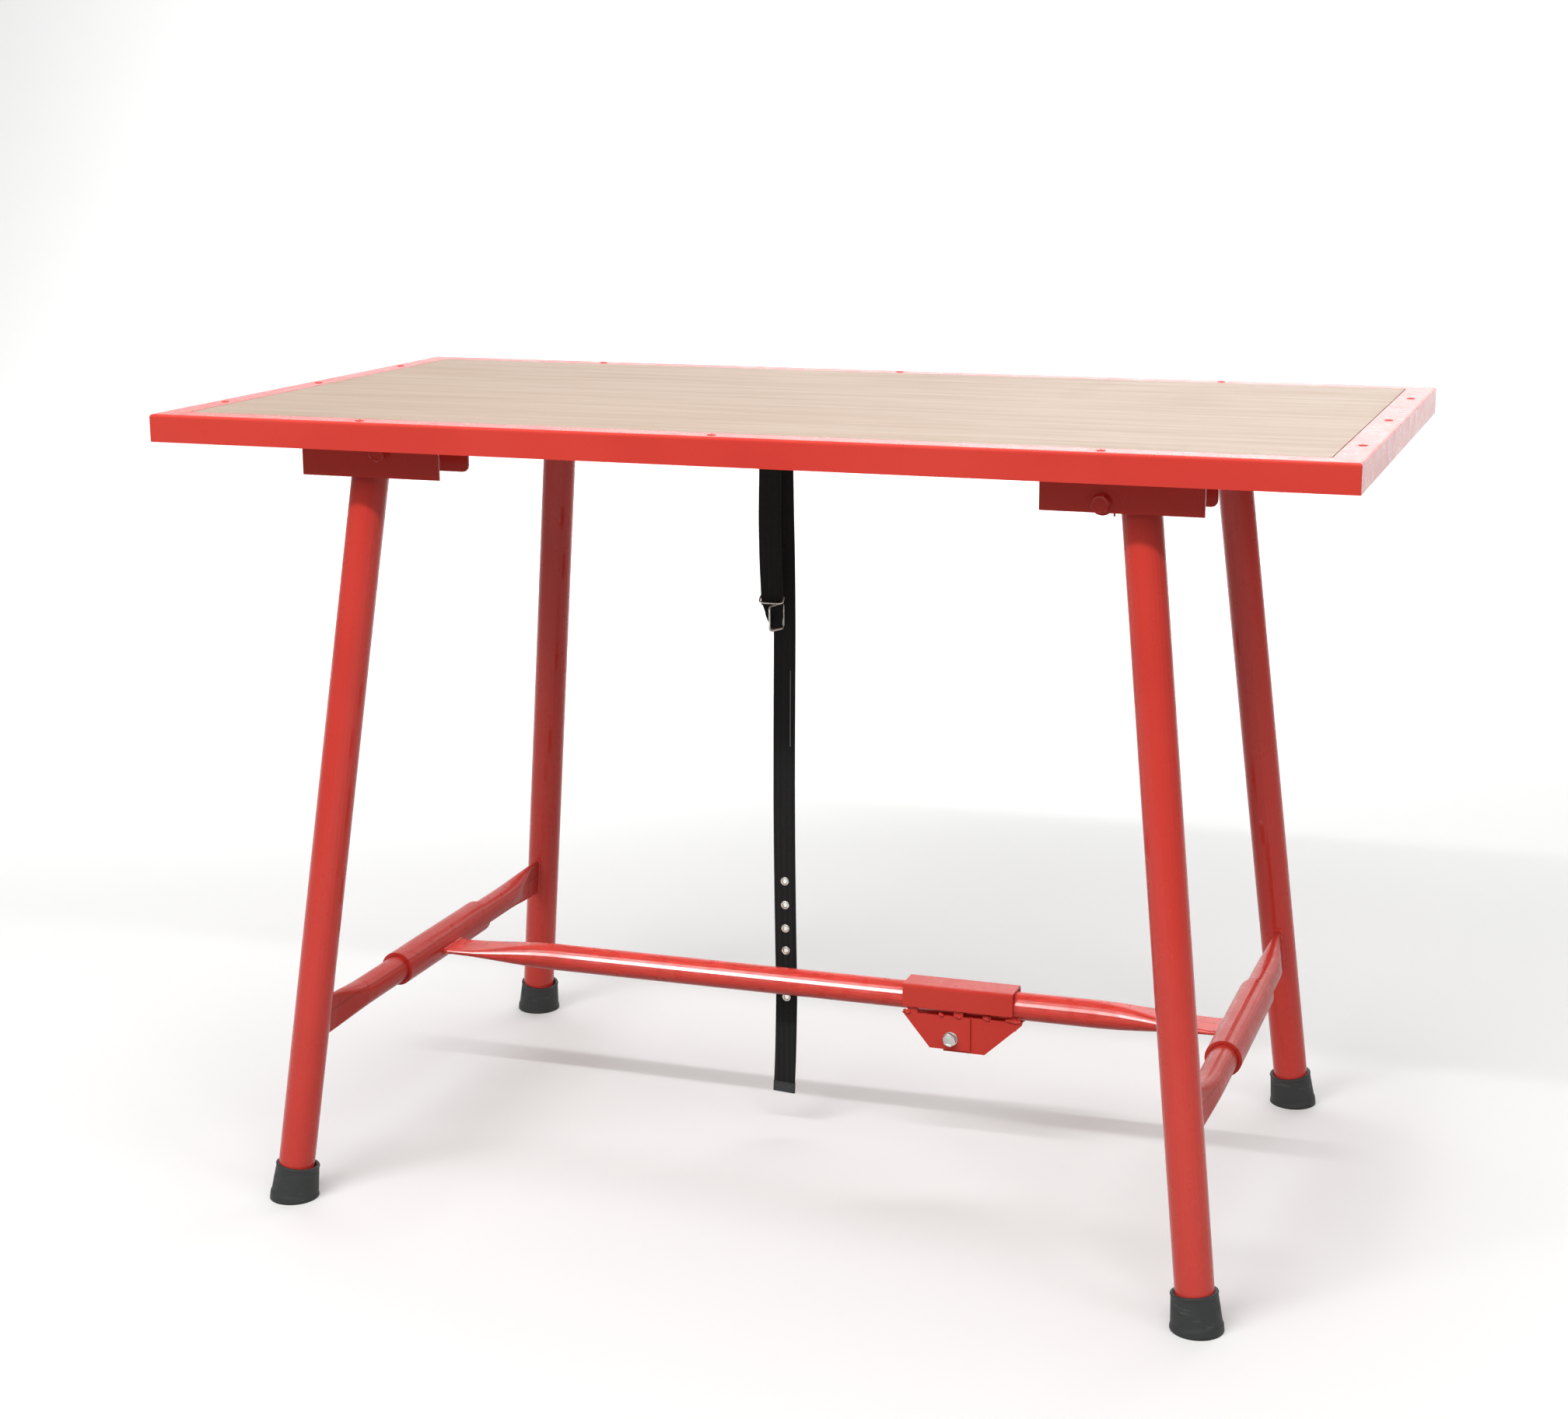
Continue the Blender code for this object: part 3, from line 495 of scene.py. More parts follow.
def resample(points, step, closed=False):
    points = [Vector(p) for p in points]
    if closed:
        points = points + [points[0]]
    lengths = [0.0]
    for a, b in zip(points, points[1:]):
        lengths.append(lengths[-1] + (b - a).length)
    count = max(2, round(lengths[-1] / step))
    stops = [lengths[-1] * k / count for k in range(count if closed else count + 1)]
    found, k = [], 0
    for stop in stops:
        while k < len(points) - 2 and lengths[k + 1] < stop:
            k += 1
        span = max(lengths[k + 1] - lengths[k], 1e-9)
        found.append(points[k].lerp(points[k + 1], (stop - lengths[k]) / span))
    return found


def sweep(points, radii, sides=10, closed=False, start_across=None):
    """Vertices and faces of a tube whose radius may change at every point."""
    count, verts, across = len(points), [], start_across
    for k, point in enumerate(points):
        before = points[(k - 1) % count] if closed or k else points[0]
        after = points[(k + 1) % count] if closed or k < count - 1 else points[-1]
        tangent = (after - before).normalized()
        if across is None:
            across = tangent.orthogonal()
        across = (across - across.dot(tangent) * tangent).normalized()
        other = tangent.cross(across)
        for s in range(sides):
            angle = ROUND * s / sides
            offset = across * math.cos(angle) + other * math.sin(angle)
            verts.append(point + offset * radii[k])
    faces = grid_faces(count, sides, closed_rows=closed)
    if not closed:
        faces += end_caps(count, sides)
    return verts, faces


def merged(parts):
    """Several (vertices, faces) as one."""
    verts, faces = [], []
    for more, its_faces in parts:
        base = len(verts)
        verts += [Vector(v) for v in more]
        faces += [tuple(base + i for i in f) for f in its_faces]
    return verts, faces


def moved(part, matrix):
    return [matrix @ Vector(v) for v in part[0]], part[1]


def bead(path, radius, closed=False, pitch=0.0034):
    """A hand-laid weld: overlapping ripples along a path, uneven in width and place."""
    points = resample(path, BEAD_STEP, closed)
    radii, travelled = [], 0.0
    phase = DICE.random()
    swing = [DICE.uniform(-1, 1) for _ in range(6)]
    for k, point in enumerate(points):
        turn = travelled / pitch + phase
        ripple = 0.84 + 0.20 * (1 - (turn % 1.0)) ** 0.7
        slow = sum(a * math.sin(ROUND * (i + 1) * k / len(points)) for i, a in
                   enumerate(swing)) / 12
        end = 1.0
        if not closed:
            reach = min(k, len(points) - 1 - k) * BEAD_STEP / radius
            end = math.sqrt(max(0.10, 1 - (1 - min(1.0, reach)) ** 2))
        radii.append(radius * (ripple + slow) * end)
        travelled += BEAD_STEP
    jitter = [p + Vector([DICE.uniform(-1, 1) * radius * 0.05 for _ in range(3)]) for p in points]
    return sweep(jitter, radii, 10, closed)


SURFACES = {}


def surface(node):
    """The node's CAD surface, to set small things on."""
    if node not in SURFACES:
        mesh = NODES[node].data
        SURFACES[node] = BVHTree.FromPolygons([v.co for v in mesh.vertices],
                                              [tuple(p.vertices) for p in mesh.polygons])
    return SURFACES[node]


def spatter(nodes, spots, reach, count, sizes=(0.00035, 0.0010)):
    """Little half-round beads thrown from a weld on to the surfaces round it."""
    dome = [(1.0, -0.25), (0.96, 0.15), (0.75, 0.5), (0.42, 0.74), (0.12, 0.82)]
    parts = []
    for _ in range(count):
        start = Vector(DICE.choice(spots)) + Vector([DICE.gauss(0, reach) for _ in range(3)])
        hits = [surface(n).find_nearest(start) for n in nodes]
        place, normal = min(((h[0], h[1]) for h in hits), key=lambda h: (h[0] - start).length)
        size = sizes[0] + (sizes[1] - sizes[0]) * DICE.random() ** 2
        turn = normal.to_track_quat("Z", "Y").to_matrix().to_4x4()
        matrix = Matrix.Translation(place) @ turn @ Matrix.Diagonal((size, size, size * 0.8, 1))
        parts.append(moved(lathe(dome, 8), matrix))
    return parts


def end_ring(node, outward, depth):
    """A tube's end outline: its outer points within depth of its furthest point that way."""
    outward = Vector(outward).normalized()
    points = [v.co.copy() for v in NODES[node].data.vertices]
    far = max(p.dot(outward) for p in points)
    ring = [p for p in points if p.dot(outward) > far - depth]
    centre = sum(ring, Vector()) / len(ring)
    across = outward.orthogonal().normalized()
    other = outward.cross(across)
    unique = {}
    for p in ring:
        key = tuple(round(c, 5) for c in p)
        unique[key] = p
    return sorted(unique.values(), key=lambda p: math.atan2((p - centre).dot(other),
                                                            (p - centre).dot(across)))


# ---------------------------------------------------------------- welds
def crossbar_welds(side):
    body = f"{side}_leg_frame"
    for row, face in zip(ROWS, (-1, 1)):
        ring = end_ring(f"{side}_crossbar", (0, face, 0), 0.0060)
        leg = surface(f"{side}_{row}_leg")
        path = []
        for p in ring:
            place = leg.find_nearest(p)[0]
            path.append(p.lerp(place, 0.6))
        verts, faces = bead(path, 0.0021, closed=True)
        piece(f"{side}_{row}_crossbar_weld", verts, faces, WELD_PAINT, body, "red_paint")
        drops = spatter([f"{side}_{row}_leg", f"{side}_crossbar"], path, 0.008, 26)
        verts, faces = merged(drops)
        piece(f"{side}_{row}_crossbar_spatter", verts, faces, WELD_PAINT, body, "red_paint")


def brace_welds(side):
    body, out = f"{side}_brace", (-1 if side == "left" else 1, 0, 0)
    ring = end_ring(f"{side}_brace_tube", out, 0.0030)
    sleeve = surface(f"{side}_sleeve")
    path = [p.lerp(sleeve.find_nearest(p)[0], 0.6) for p in ring]
    verts, faces = bead(path, 0.0020, closed=True)
    piece(f"{side}_brace_weld", verts, faces, WELD_PAINT, body, "red_paint")
    drops = spatter([f"{side}_sleeve", f"{side}_brace_tube"], path, 0.009, 40)
    verts, faces = merged(drops)
    piece(f"{side}_brace_spatter", verts, faces, WELD_PAINT, body, "red_paint")


def brace_point(u, y, w):
    """A point in the brace's own frame: u along it from the hinge bolt, w up from its axis."""
    low, high = box("hinge_bolt")
    bolt = Vector(((low.x + high.x) / 2, 0, (low.z + high.z) / 2))
    along = Vector((math.cos(BRACE_SLOPE), 0, math.sin(BRACE_SLOPE)))
    up = Vector((-math.sin(BRACE_SLOPE), 0, math.cos(BRACE_SLOPE)))
    return bolt + along * u + up * (w + BOLT_DROP) + Vector((0, y, 0))


def hinge_welds():
    """Lumpy beads where the plates' tabs meet the tubes and the lock channel."""
    for side, height, reach, spans in HINGE_TABS:
        body = f"{side}_brace"
        for row, face in zip(ROWS, (-1, 1)):
            parts, spots = [], []
            for start, end in spans:
                path = [brace_point(start + (end - start) * t, face * reach,
                                    height + 0.0006 * math.sin(5 * t)) for t in shares(0, 1)]
                parts.append(bead(path, 0.0021, pitch=0.0029))
                spots += path
            name = f"{side}_{row}_hinge_plate"
            parts += spatter([name], spots, 0.0065, 34)
            verts, faces = merged(parts)
            piece(f"{name}_weld", verts, faces, WELD_PAINT, body, "red_paint")
    for side, reach, ends in EDGE_BEADS:
        parts, spots = [], []
        for face in (-1, 1):
            for start, end in ends:
                path = [brace_point(start + (end - start) * t, face * (reach + 0.0004),
                                    PLATE_TOP + 0.0007 * math.sin(7 * t)) for t in shares(0, 1)]
                parts.append(bead(path, 0.0020, pitch=0.0026))
                spots += path
        names = [f"{side}_{row}_hinge_plate" for row in ROWS]
        parts += spatter(names, spots, 0.0060, 60, (0.0004, 0.0011))
        verts, faces = merged(parts)
        piece(f"{side}_hinge_edge_weld", verts, faces, WELD_PAINT, f"{side}_brace", "red_paint")


def leg_line(side, row):
    """The low end and the direction of a leg's axis, from its CAD node's long edges."""
    mesh = NODES[f"{side}_{row}_leg"].data
    starts, total = [], Vector()
    for edge in mesh.edges:
        a, b = (mesh.vertices[i].co for i in edge.vertices)
        if (a - b).length > 0.3:
            low, high = sorted((a, b), key=lambda p: p.z)
            starts.append(low)
            total += high - low
    return sum(starts, Vector()) / len(starts), total.normalized()


def bush_welds(side, row):
    """Beads round the bush where it comes out of the leg's two walls."""
    low, high = box(f"{side}_{row}_bush")
    centre, radius = (low + high) / 2, (high.x - low.x) / 2
    start, direction = leg_line(side, row)
    leg_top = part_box(f"{side}_{row}_leg")[1][2]
    parts, spots = [], []
    for way in (-1, 1):
        path = []
        for k in range(61):
            angle = math.radians(-225 + 270 * k / 60)
            base = centre + Vector((math.cos(angle), 0, math.sin(angle))) * radius
            offset = base - start
            flat = offset - offset.dot(direction) * direction
            across = Vector((0, 1, 0)) - direction.y * direction
            a, b = across.dot(across), 2 * flat.dot(across)
            root = b * b - 4 * a * (flat.dot(flat) - LEG_RADIUS ** 2)
            if root <= 0:
                continue
            place = base + Vector((0, (-b + way * math.sqrt(root)) / (2 * a), 0))
            if low.y + 0.004 < place.y < high.y - 0.004 and place.z < leg_top - 0.003:
                path.append(place)
        if len(path) > 8:
            parts.append(bead(path, 0.0017))
            spots += path
    if parts:
        parts += spatter([f"{side}_{row}_leg"], spots, 0.006, 14)
        verts, faces = merged(parts)
        piece(f"{side}_{row}_bush_weld", verts, faces, WELD_PAINT, f"{side}_leg_frame",
              "red_paint")


def bracket_welds(side, row):
    """Short tacks along the bracket's upper edges, under the strip that carries it."""
    low, high = box(f"{side}_{row}_bracket")
    parts, spots = [], []
    for y in (low.y - 0.0004, high.y + 0.0004):
        for start, end in ((0.06, 0.20), (0.44, 0.58), (0.82, 0.95)):
            path = [Vector((low.x + (high.x - low.x) * (start + (end - start) * t), y,
                            high.z - 0.0004)) for t in shares(0, 1)]
            parts.append(bead(path, 0.0019))
            spots += path
    bush_low, bush_high = box(f"{side}_{row}_bush")
    for drop in spatter([f"{side}_{row}_bracket"], spots, 0.006, 22):
        centre = sum(drop[0], Vector()) / len(drop[0])
        near = [a - BUSH_ROOM < c < b + BUSH_ROOM for a, c, b in zip(bush_low, centre, bush_high)]
        if not all(near):
            parts.append(drop)
    verts, faces = merged(parts)
    piece(f"{side}_{row}_bracket_weld", verts, faces, WELD_PAINT, "tabletop", "red_paint")


def paint_drip():
    """A run of paint that set as a drop under the right front bracket."""
    low, high = box("right_front_bracket")
    profile = [(0.0002, 0.0030), (0.0008, 0.0024), (0.0010, 0.0012), (0.0009, 0.0),
               (0.0011, -0.0012), (0.0010, -0.0021), (0.0006, -0.0028), (0.0001, -0.0030)]
    place = Vector(((low.x + high.x) / 2 - 0.006, low.y + 0.0006, low.z))
    verts, faces = moved(lathe(profile, 14), Matrix.Translation(place))
    piece("paint_drip", verts, faces, WELD_PAINT, "tabletop", "red_paint")


# ---------------------------------------------------------------- bolts, nuts and screws
def hexagon_prism(across_flats, height, bore=0.0):
    """A hexagon whose upper corners a lathe has chamfered, from z = 0 up; bored if asked."""
    half, sides = across_flats / 2, 72
    radii, heights = [], []
    for k in range(sides):
        turn = ROUND * k / sides
        away = (turn + math.pi / 6) % (math.pi / 3) - math.pi / 6
        radii.append(half / math.cos(away))
        heights.append(height - (radii[-1] - half * 0.965) * math.tan(math.radians(30)))
    rings = [([r * 0.985 for r in radii], 0.0), (radii, 0.0003), (radii, heights)]
    if bore:
        circles = [(half * 0.965, height), (bore + 0.0007, height), (bore, height - 0.0007),
                   (bore, 0.0)]
    else:
        circles = [(half * 0.965, height), (half * 0.80, height - 0.0001),
                   (half * 0.74, height - 0.0004), (half * 0.10, height - 0.0004)]
    rings += [([radius] * sides, level) for radius, level in circles]
    verts = []
    for its_radii, level in rings:
        levels = level if isinstance(level, list) else [level] * sides
        for k in range(sides):
            turn = ROUND * k / sides
            verts.append(Vector((its_radii[k] * math.cos(turn), its_radii[k] * math.sin(turn),
                                 levels[k])))
    faces = grid_faces(len(rings), sides, closed_rows=bool(bore))
    if not bore:
        faces += end_caps(len(rings), sides)
    return verts, faces


def threaded_shank(radius, length, thread, pitch=0.00125):
    """A shank from z = 0 down, its last stretch cut with a thread and chamfered."""
    profile = [(radius, 0.0), (radius, -(length - thread))]
    level = length - thread
    while level < length - 1.5 * pitch:
        profile += [(radius * 0.87, -(level + pitch * 0.45)), (radius, -(level + pitch * 0.95))]
        level += pitch
    profile += [(radius * 0.80, -length)]
    return lathe(profile, 28)


def washer(inner, outer, thickness):
    edge = thickness * 0.25
    return ring_lathe([(inner, 0), (outer - edge, 0), (outer, edge), (outer, thickness - edge),
                       (outer - edge, thickness), (inner, thickness)])


def facing(place, outward, spin=0.0):
    """A matrix that stands local Z on place, pointing outward."""
    turn = Vector(outward).to_track_quat("Z", "Y").to_matrix().to_4x4()
    return Matrix.Translation(place) @ turn @ Matrix.Rotation(math.radians(spin), 4, "Z")


def pivot_fasteners(side, row, face):
    """A painted bolt with its washer outside the bracket, and the nut inside it."""
    node = f"{side}_{row}_pivot_bolt"
    low, high = box(node)
    centre = (low + high) / 2
    outer = low.y if face < 0 else high.y
    across = high.z - low.z if high.z - low.z < high.x - low.x else high.x - low.x
    head = 0.0064
    seat = Vector((centre.x, outer - face * head, centre.z))
    grip = high.y - low.y - head
    matrix = facing(seat, (0, face, 0), DICE.uniform(0, 60))
    bolt = merged([moved(hexagon_prism(across, head), matrix @ Matrix.Translation((0, 0, 0.0009))),
                   moved(threaded_shank(0.00485, grip, 0.010), matrix),
                   moved(washer(0.0052, 0.0096, 0.0009), matrix)])
    obj = piece(node + "_detail", *bolt, PAINT, "tabletop", "red_paint", angle=28)
    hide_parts(node)
    node = f"{side}_{row}_pivot_nut"
    low, high = box(node)
    seat = Vector((centre.x, high.y if face < 0 else low.y, centre.z))
    matrix = facing(seat, (0, face, 0), DICE.uniform(0, 60))
    nut = moved(hexagon_prism(across, high.y - low.y, 0.0050),
                matrix @ Matrix.Rotation(math.pi, 4, "X"))
    obj = piece(node + "_detail", *nut, PAINT, "tabletop", "red_paint", angle=28)
    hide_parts(node)


def hinge_fasteners():
    low, high = box("hinge_bolt")
    centre = (low + high) / 2
    head = 0.0055
    seat = Vector((centre.x, low.y + head, centre.z))
    matrix = facing(seat, (0, -1, 0), 11)
    bolt = merged([moved(hexagon_prism(0.0130, head), matrix @ Matrix.Translation((0, 0, 0.0008))),
                   moved(threaded_shank(0.0039, high.y - low.y - head, 0.012), matrix),
                   moved(washer(0.0041, 0.0079, 0.0008), matrix)])
    obj = piece("hinge_bolt_detail", *bolt, ZINC, "left_brace", "zinc", angle=28)
    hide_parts("hinge_bolt")
    low, high = box("hinge_nut")
    matrix = facing(Vector((centre.x, low.y, centre.z)), (0, 1, 0), 34)
    nut = moved(hexagon_prism(0.0130, high.y - low.y, 0.0040), matrix)
    obj = piece("hinge_nut_detail", *nut, ZINC, "left_brace", "zinc", angle=28)
    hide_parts("hinge_nut")


def screw_head(node):
    """A low pan head with a cross recess."""
    low, high = box(node)
    centre, radius, rise = (low + high) / 2, (high.x - low.x) / 2, high.z - low.z
    spin, sides, rings = DICE.uniform(0, math.pi / 2), 64, 20
    verts = []
    for r in range(rings + 1):
        share = 0.02 + 0.98 * r / rings
        dome = rise * (1 - 0.30 * share ** 2 - 0.35 * share ** 10)
        for k in range(sides):
            turn = ROUND * k / sides
            x, y = share * radius * math.cos(turn), share * radius * math.sin(turn)
            off_arm = min(abs(x), abs(y))
            depth = max(0.0, min(1.0, (0.00062 - off_arm) / 0.00016))
            depth *= max(0.0, min(1.0, (0.0023 - math.hypot(x, y)) / 0.0003))
            verts.append(Vector((x, y, dome - 0.0011 * depth)))
    verts += [Vector((radius * math.cos(ROUND * k / sides),
                      radius * math.sin(ROUND * k / sides), 0.0)) for k in range(sides)]
    faces = grid_faces(rings + 2, sides) + end_caps(rings + 2, sides)
    place = Matrix.Translation((centre.x, centre.y, low.z - 0.0002))
    verts, faces = moved((verts, faces), place @ Matrix.Rotation(spin, 4, "Z"))
    obj = piece(f"{node}_detail", verts, faces, PAINT, "tabletop", "red_paint", angle=30)
    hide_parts(node)


# ---------------------------------------------------------------- feet
def foot(side, row):
    """A moulded cup on the leg's end: a beaded rim, a taper and a flared lip, cut level."""
    node = f"{side}_{row}_foot"
    start, direction = leg_line(side, row)
    sole = start - direction * (start.z / direction.z)
    profile = [(0.0193, 0.0090), (0.0193, 0.0362), (0.0197, 0.0368), (0.0221, 0.0370),
               (0.0229, 0.0366), (0.0232, 0.0358), (0.0230, 0.0349), (0.0226, 0.0343),
               (0.0229, 0.0310), (0.0238, 0.0200), (0.0246, 0.0095), (0.0249, 0.0066),
               (0.0255, 0.0056), (0.0258, 0.0042), (0.0258, 0.0), (0.0254, -0.0090)]
    verts, faces = moved(lathe(profile, 56), facing(sole, direction))
    obj = piece(f"{node}_detail", verts, faces, RUBBER, f"{side}_leg_frame", "rubber", angle=50)
    shape = bmesh.new()
    shape.from_mesh(obj.data)
    everything = shape.verts[:] + shape.edges[:] + shape.faces[:]
    cut = bmesh.ops.bisect_plane(shape, geom=everything, plane_co=(0, 0, 0), plane_no=(0, 0, -1),
                                 clear_outer=True)
    edges = [e for e in cut["geom_cut"] if isinstance(e, bmesh.types.BMEdge)]
    bmesh.ops.holes_fill(shape, edges=edges, sides=0)
    bmesh.ops.recalc_face_normals(shape, faces=shape.faces)
    shape.to_mesh(obj.data)
    shape.free()
    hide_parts(node)


# ---------------------------------------------------------------- strap
EYELET_HOLE = 0.0031        # radius


def ribbon(path, outline, across=(1, 0, 0)):
    """A flat section of (sideways, through) points swept along a path; its ends are closed."""
    verts = []
    for k, place in enumerate(path):
        before, after = path[max(k - 1, 0)], path[min(k + 1, len(path) - 1)]
        tangent = (after - before).normalized()
        side = (Vector(across) - Vector(across).dot(tangent) * tangent).normalized()
        through = tangent.cross(side)
        its = outline(k) if callable(outline) else outline
        verts += [place + side * u + through * t for u, t in its]
    sides = len(verts) // len(path)
    return verts, grid_faces(len(path), sides) + end_caps(len(path), sides)


def webbing_section(width, thickness, columns=8):
    """The rounded section of one layer of webbing, with a slightly thicker selvage."""
    half, back = width / 2, thickness / 2
    front = [(-half + width * k / columns, back) for k in range(columns + 1)]
    front[0], front[-1] = (-half + 0.0004, back), (half - 0.0004, back)
    edge = [(half, back * 0.4), (half, -back * 0.4)]
    rear = [(u, -t) for u, t in reversed(front)]
    return front + edge + rear + [(-u, -t) for u, t in edge]


def strand_path(x, y, top, foot, step, wander, billow):
    """A hanging strand's middle line from its anchor down, as it wanders and billows."""
    points, count = [], round((top - foot) / step)
    heights, shifts = zip(*reversed(wander))
    for k in range(count + 1):
        z = top + (foot - top) * k / count
        share = (top - z) / (top - foot)
        hold = min(1.0, share * 5)
        shift = float(np.interp(z, heights, shifts))
        points.append(Vector((x + shift, y + billow * hold * math.sin(7.5 * share + 0.3), z)))
    for _ in range(4):
        xs = [p.x for p in points]
        for k in range(1, len(points) - 1):
            points[k].x = (xs[k - 1] + 2 * xs[k] + xs[k + 1]) / 4
    return points


def cut_holes(obj, places, radius):
    """Drill the eyelet holes through a strand."""
    drills = [moved(lathe([(radius, -0.01), (radius, 0.01)], 28), facing(p, (0, 1, 0)))
              for p in places]
    cutter = piece("eyelet_drill", *merged(drills), WEBBING, None, None)
    change = obj.modifiers.new("eyelet_holes", "BOOLEAN")
    change.operation, change.object, change.solver = "DIFFERENCE", cutter, "EXACT"
    bpy.context.view_layer.update()
    graph = bpy.context.evaluated_depsgraph_get()
    drilled = bpy.data.meshes.new_from_object(obj.evaluated_get(graph))
    obj.modifiers.remove(change)
    obj.data = drilled
    bpy.data.objects.remove(cutter, do_unlink=True)


def long_strand():
    low, high = box("strap_long_strand")
    x, y = (low.x + high.x) / 2, (low.y + high.y) / 2
    path = strand_path(x, y, high.z - 0.0004, low.z, 0.004, LONG_WANDER, 0.0035)
    strand = piece("strap_webbing", *ribbon(path, webbing_section(WIDTH, THICK)), WEBBING,
                   "tabletop", "webbing", angle=60)
    eyes = []
    for z in EYELETS:
        nearest = min(path, key=lambda p: abs(p.z - z))
        eyes.append(Vector((nearest.x + 0.0002, nearest.y, z)))
    cut_holes(strand, eyes, EYELET_HOLE)
    rings, bores = [], []
    lip = [(0.0029, 0.0004), (0.0032, 0.0010), (0.0039, 0.0012), (0.0046, 0.0009),
           (0.0050, 0.0003), (0.0050, 0.0), (0.0032, 0.0)]
    for eye in eyes:
        for way in (-1, 1):
            place = eye + Vector((0, way * THICK / 2, 0))
            rings.append(moved(ring_lathe(lip, 36), facing(place, (0, way, 0))))
        bore = [(0.0030, -0.0009), (0.0030, 0.0009), (0.0026, 0.0011), (0.0026, -0.0011)]
        bores.append(moved(ring_lathe(bore, 36), facing(eye, (0, 1, 0))))
    rings = piece("strap_eyelets", *merged(rings), NICKEL, "tabletop", "wire_steel")
    bores = piece("strap_eyelet_bores", *merged(bores), BRASSY, "tabletop", "wire_steel")
    hem_path = [p for p in path if p.z < low.z + 0.0125]
    hem = piece("strap_hem", *ribbon(hem_path, webbing_section(WIDTH + 0.0008, THICK + 0.0009)),
                HEM, "tabletop", "webbing", angle=60)
    # a thin ridge down the strap, pale grey as painted highlight of a fold
    ridge = [p + Vector((0.0072, -THICK / 2, 0)) for p in path
             if RIDGE_HEIGHTS[0] < p.z < RIDGE_HEIGHTS[1]]
    ridge = piece("strap_ridge", *sweep(ridge, [0.0006] * len(ridge), 8), RIDGE_HIGHLIGHT,
                  "tabletop", "webbing")
    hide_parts("strap_long_strand")


def short_strand():
    """Two layers of webbing to a fold, with a wire slide round them above the buckle."""
    low, high = box("strap_short_strand")
    x, y = (low.x + high.x) / 2, (low.y + high.y) / 2
    path = strand_path(x, y, high.z - 0.0004, low.z, 0.004, SHORT_WANDER, 0.0010)[:-1]
    foot = low.z - FOLD_DROP
    path += [Vector((path[-1].x, path[-1].y, foot + lift)) for lift in
             (0.0028, 0.0020, 0.0013, 0.0007, 0.0003, 0.0)]

    def section(k):
        lift = path[k].z - foot
        share = 1.0 if lift > THICK else math.sqrt(max(0.03, 1 - (1 - lift / THICK) ** 2))
        layer, half = THICK * share, WIDTH / 2
        columns = [-half + 0.0004 + (WIDTH - 0.0008) * c / 8 for c in range(9)]
        front = [(u, layer) for u in columns]
        edge = [(half, layer * 0.75), (half, layer * 0.30), (half - 0.0007, 0.0),
                (half, -layer * 0.30), (half, -layer * 0.75)]
        rear = [(u, -layer) for u in reversed(columns)]
        return front + edge + rear + [(-u, -t) for u, t in edge]

    strand = piece("strap_folded_webbing", *ribbon(path, section), WEBBING, "tabletop", "webbing",
                   angle=60)
    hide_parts("strap_short_strand")
    buckle_pieces(path[-1])


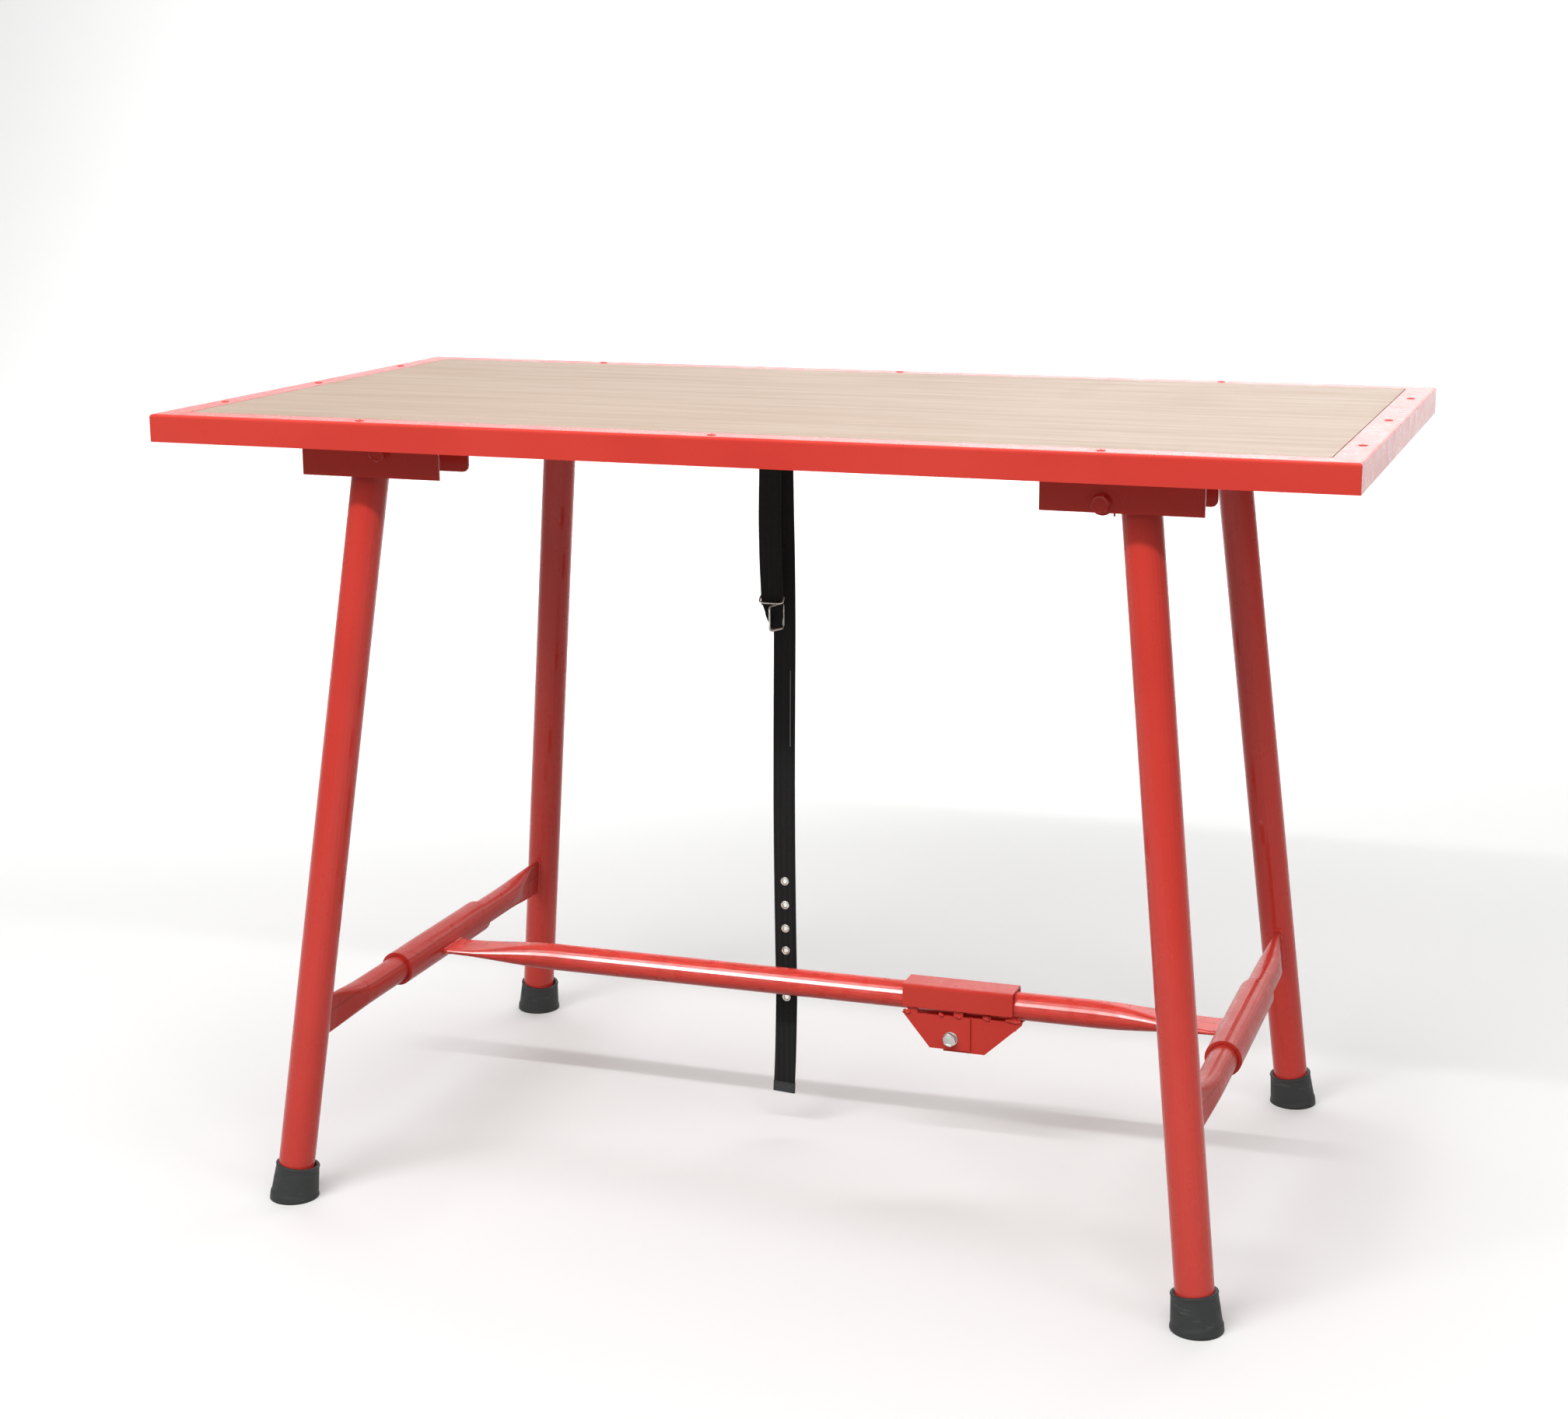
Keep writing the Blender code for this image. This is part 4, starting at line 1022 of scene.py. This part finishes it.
def buckle_pieces(fold):
    """The wire slide, the buckle with its roller, and the loop of webbing that holds it."""
    low, high = box("strap_slide")
    middle, half = (low + high) / 2, (high.x - low.x) / 2 - 0.0014
    loop = []
    for k in range(72):
        turn = ROUND * k / 72
        bend = [math.copysign(abs(f(turn)) ** 0.42, f(turn)) for f in (math.cos, math.sin)]
        loop.append(middle + Vector((half * bend[0] + 0.0008, 0.0034 * bend[1],
                                     0.0038 * bend[1])))
    loop = resample(loop, 0.0010, closed=True)
    slide = piece("strap_wire_slide", *sweep(loop, [WIRE] * len(loop), 12, True), NICKEL,
                  "tabletop", "wire_steel")
    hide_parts("strap_slide")
    low, high = box("strap_buckle")
    points = [v.co for v in NODES["strap_buckle"].data.vertices if v.co.z < low.z + 2.2 * WIRE]
    span = max(points, key=lambda p: p.x) - min(points, key=lambda p: p.x)
    direction = Vector((span.x, span.y, 0)).normalized()
    bar = Vector(((low.x + high.x) / 2, (low.y + high.y) / 2, low.z + WIRE))
    profile = [(WIRE * 1.15, 0), (WIRE * 1.75, 0.0002), (WIRE * 1.75, 0.0168),
               (WIRE * 1.15, 0.0170)]
    roller = moved(ring_lathe(profile, 24), facing(bar - direction * 0.0085, direction))
    roller = piece("strap_buckle_roller", *roller, NICKEL, "tabletop", "wire_steel")
    verts, steps = [], 14
    for k in range(steps + 1):
        share = k / steps
        ease = share * share * (3 - 2 * share)
        place = (fold + Vector((0, 0, 0.003))).lerp(bar + Vector((0, 0, 0.0020)), share)
        side = Vector((1, 0, 0)).lerp(direction, ease).normalized()
        through = side.cross(Vector((0, 0, -1)))
        section = webbing_section(WIDTH + (0.0192 - WIDTH) * min(1.0, share * 3), THICK)
        verts += [place + side * u + through * t for u, t in section]
    sides = len(verts) // (steps + 1)
    faces = grid_faces(steps + 1, sides) + end_caps(steps + 1, sides)
    loop = piece("strap_buckle_loop", verts, faces, WEBBING, "tabletop", "webbing", angle=60)
    return slide, NODES["strap_buckle"], roller, loop


# ---------------------------------------------------------------- the object
dress_nodes()
for side in SIDES:
    crossbar_welds(side)
    brace_welds(side)
    for row, face in zip(ROWS, (-1, 1)):
        bush_welds(side, row)
        bracket_welds(side, row)
        pivot_fasteners(side, row, face)
        foot(side, row)
hinge_welds()
hinge_fasteners()
for node in sorted(NODES):
    if node.startswith("panel_screw_"):
        screw_head(node)
paint_drip()
long_strand()
short_strand()

# ---------------------------------------------------------------- floor
FLOOR_FRONT, FLOOR_BACK, HALF_WIDTH, BACKDROP_TOP = -9.0, 5.0, 14.0, 9.0
CURVE, CURVE_STEPS = 2.0, 12        # the sweep from the floor up into the backdrop


def make_stage():
    """A floor that sweeps up into a backdrop."""
    angles = [math.pi / 2 * k / CURVE_STEPS for k in range(1, CURVE_STEPS + 1)]
    profile = [(FLOOR_FRONT, 0.0), (FLOOR_BACK, 0.0)]
    profile += [(FLOOR_BACK + CURVE * math.sin(a), CURVE - CURVE * math.cos(a)) for a in angles]
    profile.append((FLOOR_BACK + CURVE, BACKDROP_TOP))
    verts = [(x, y, z) for y, z in profile for x in (-HALF_WIDTH, HALF_WIDTH)]
    faces = grid_faces(len(profile), 2, closed_columns=False)
    floor = piece("floor", verts, faces, pale_floor(), None, None)
    floor.visible_diffuse = False       # the backdrop lights the picture, not the underside


make_stage()
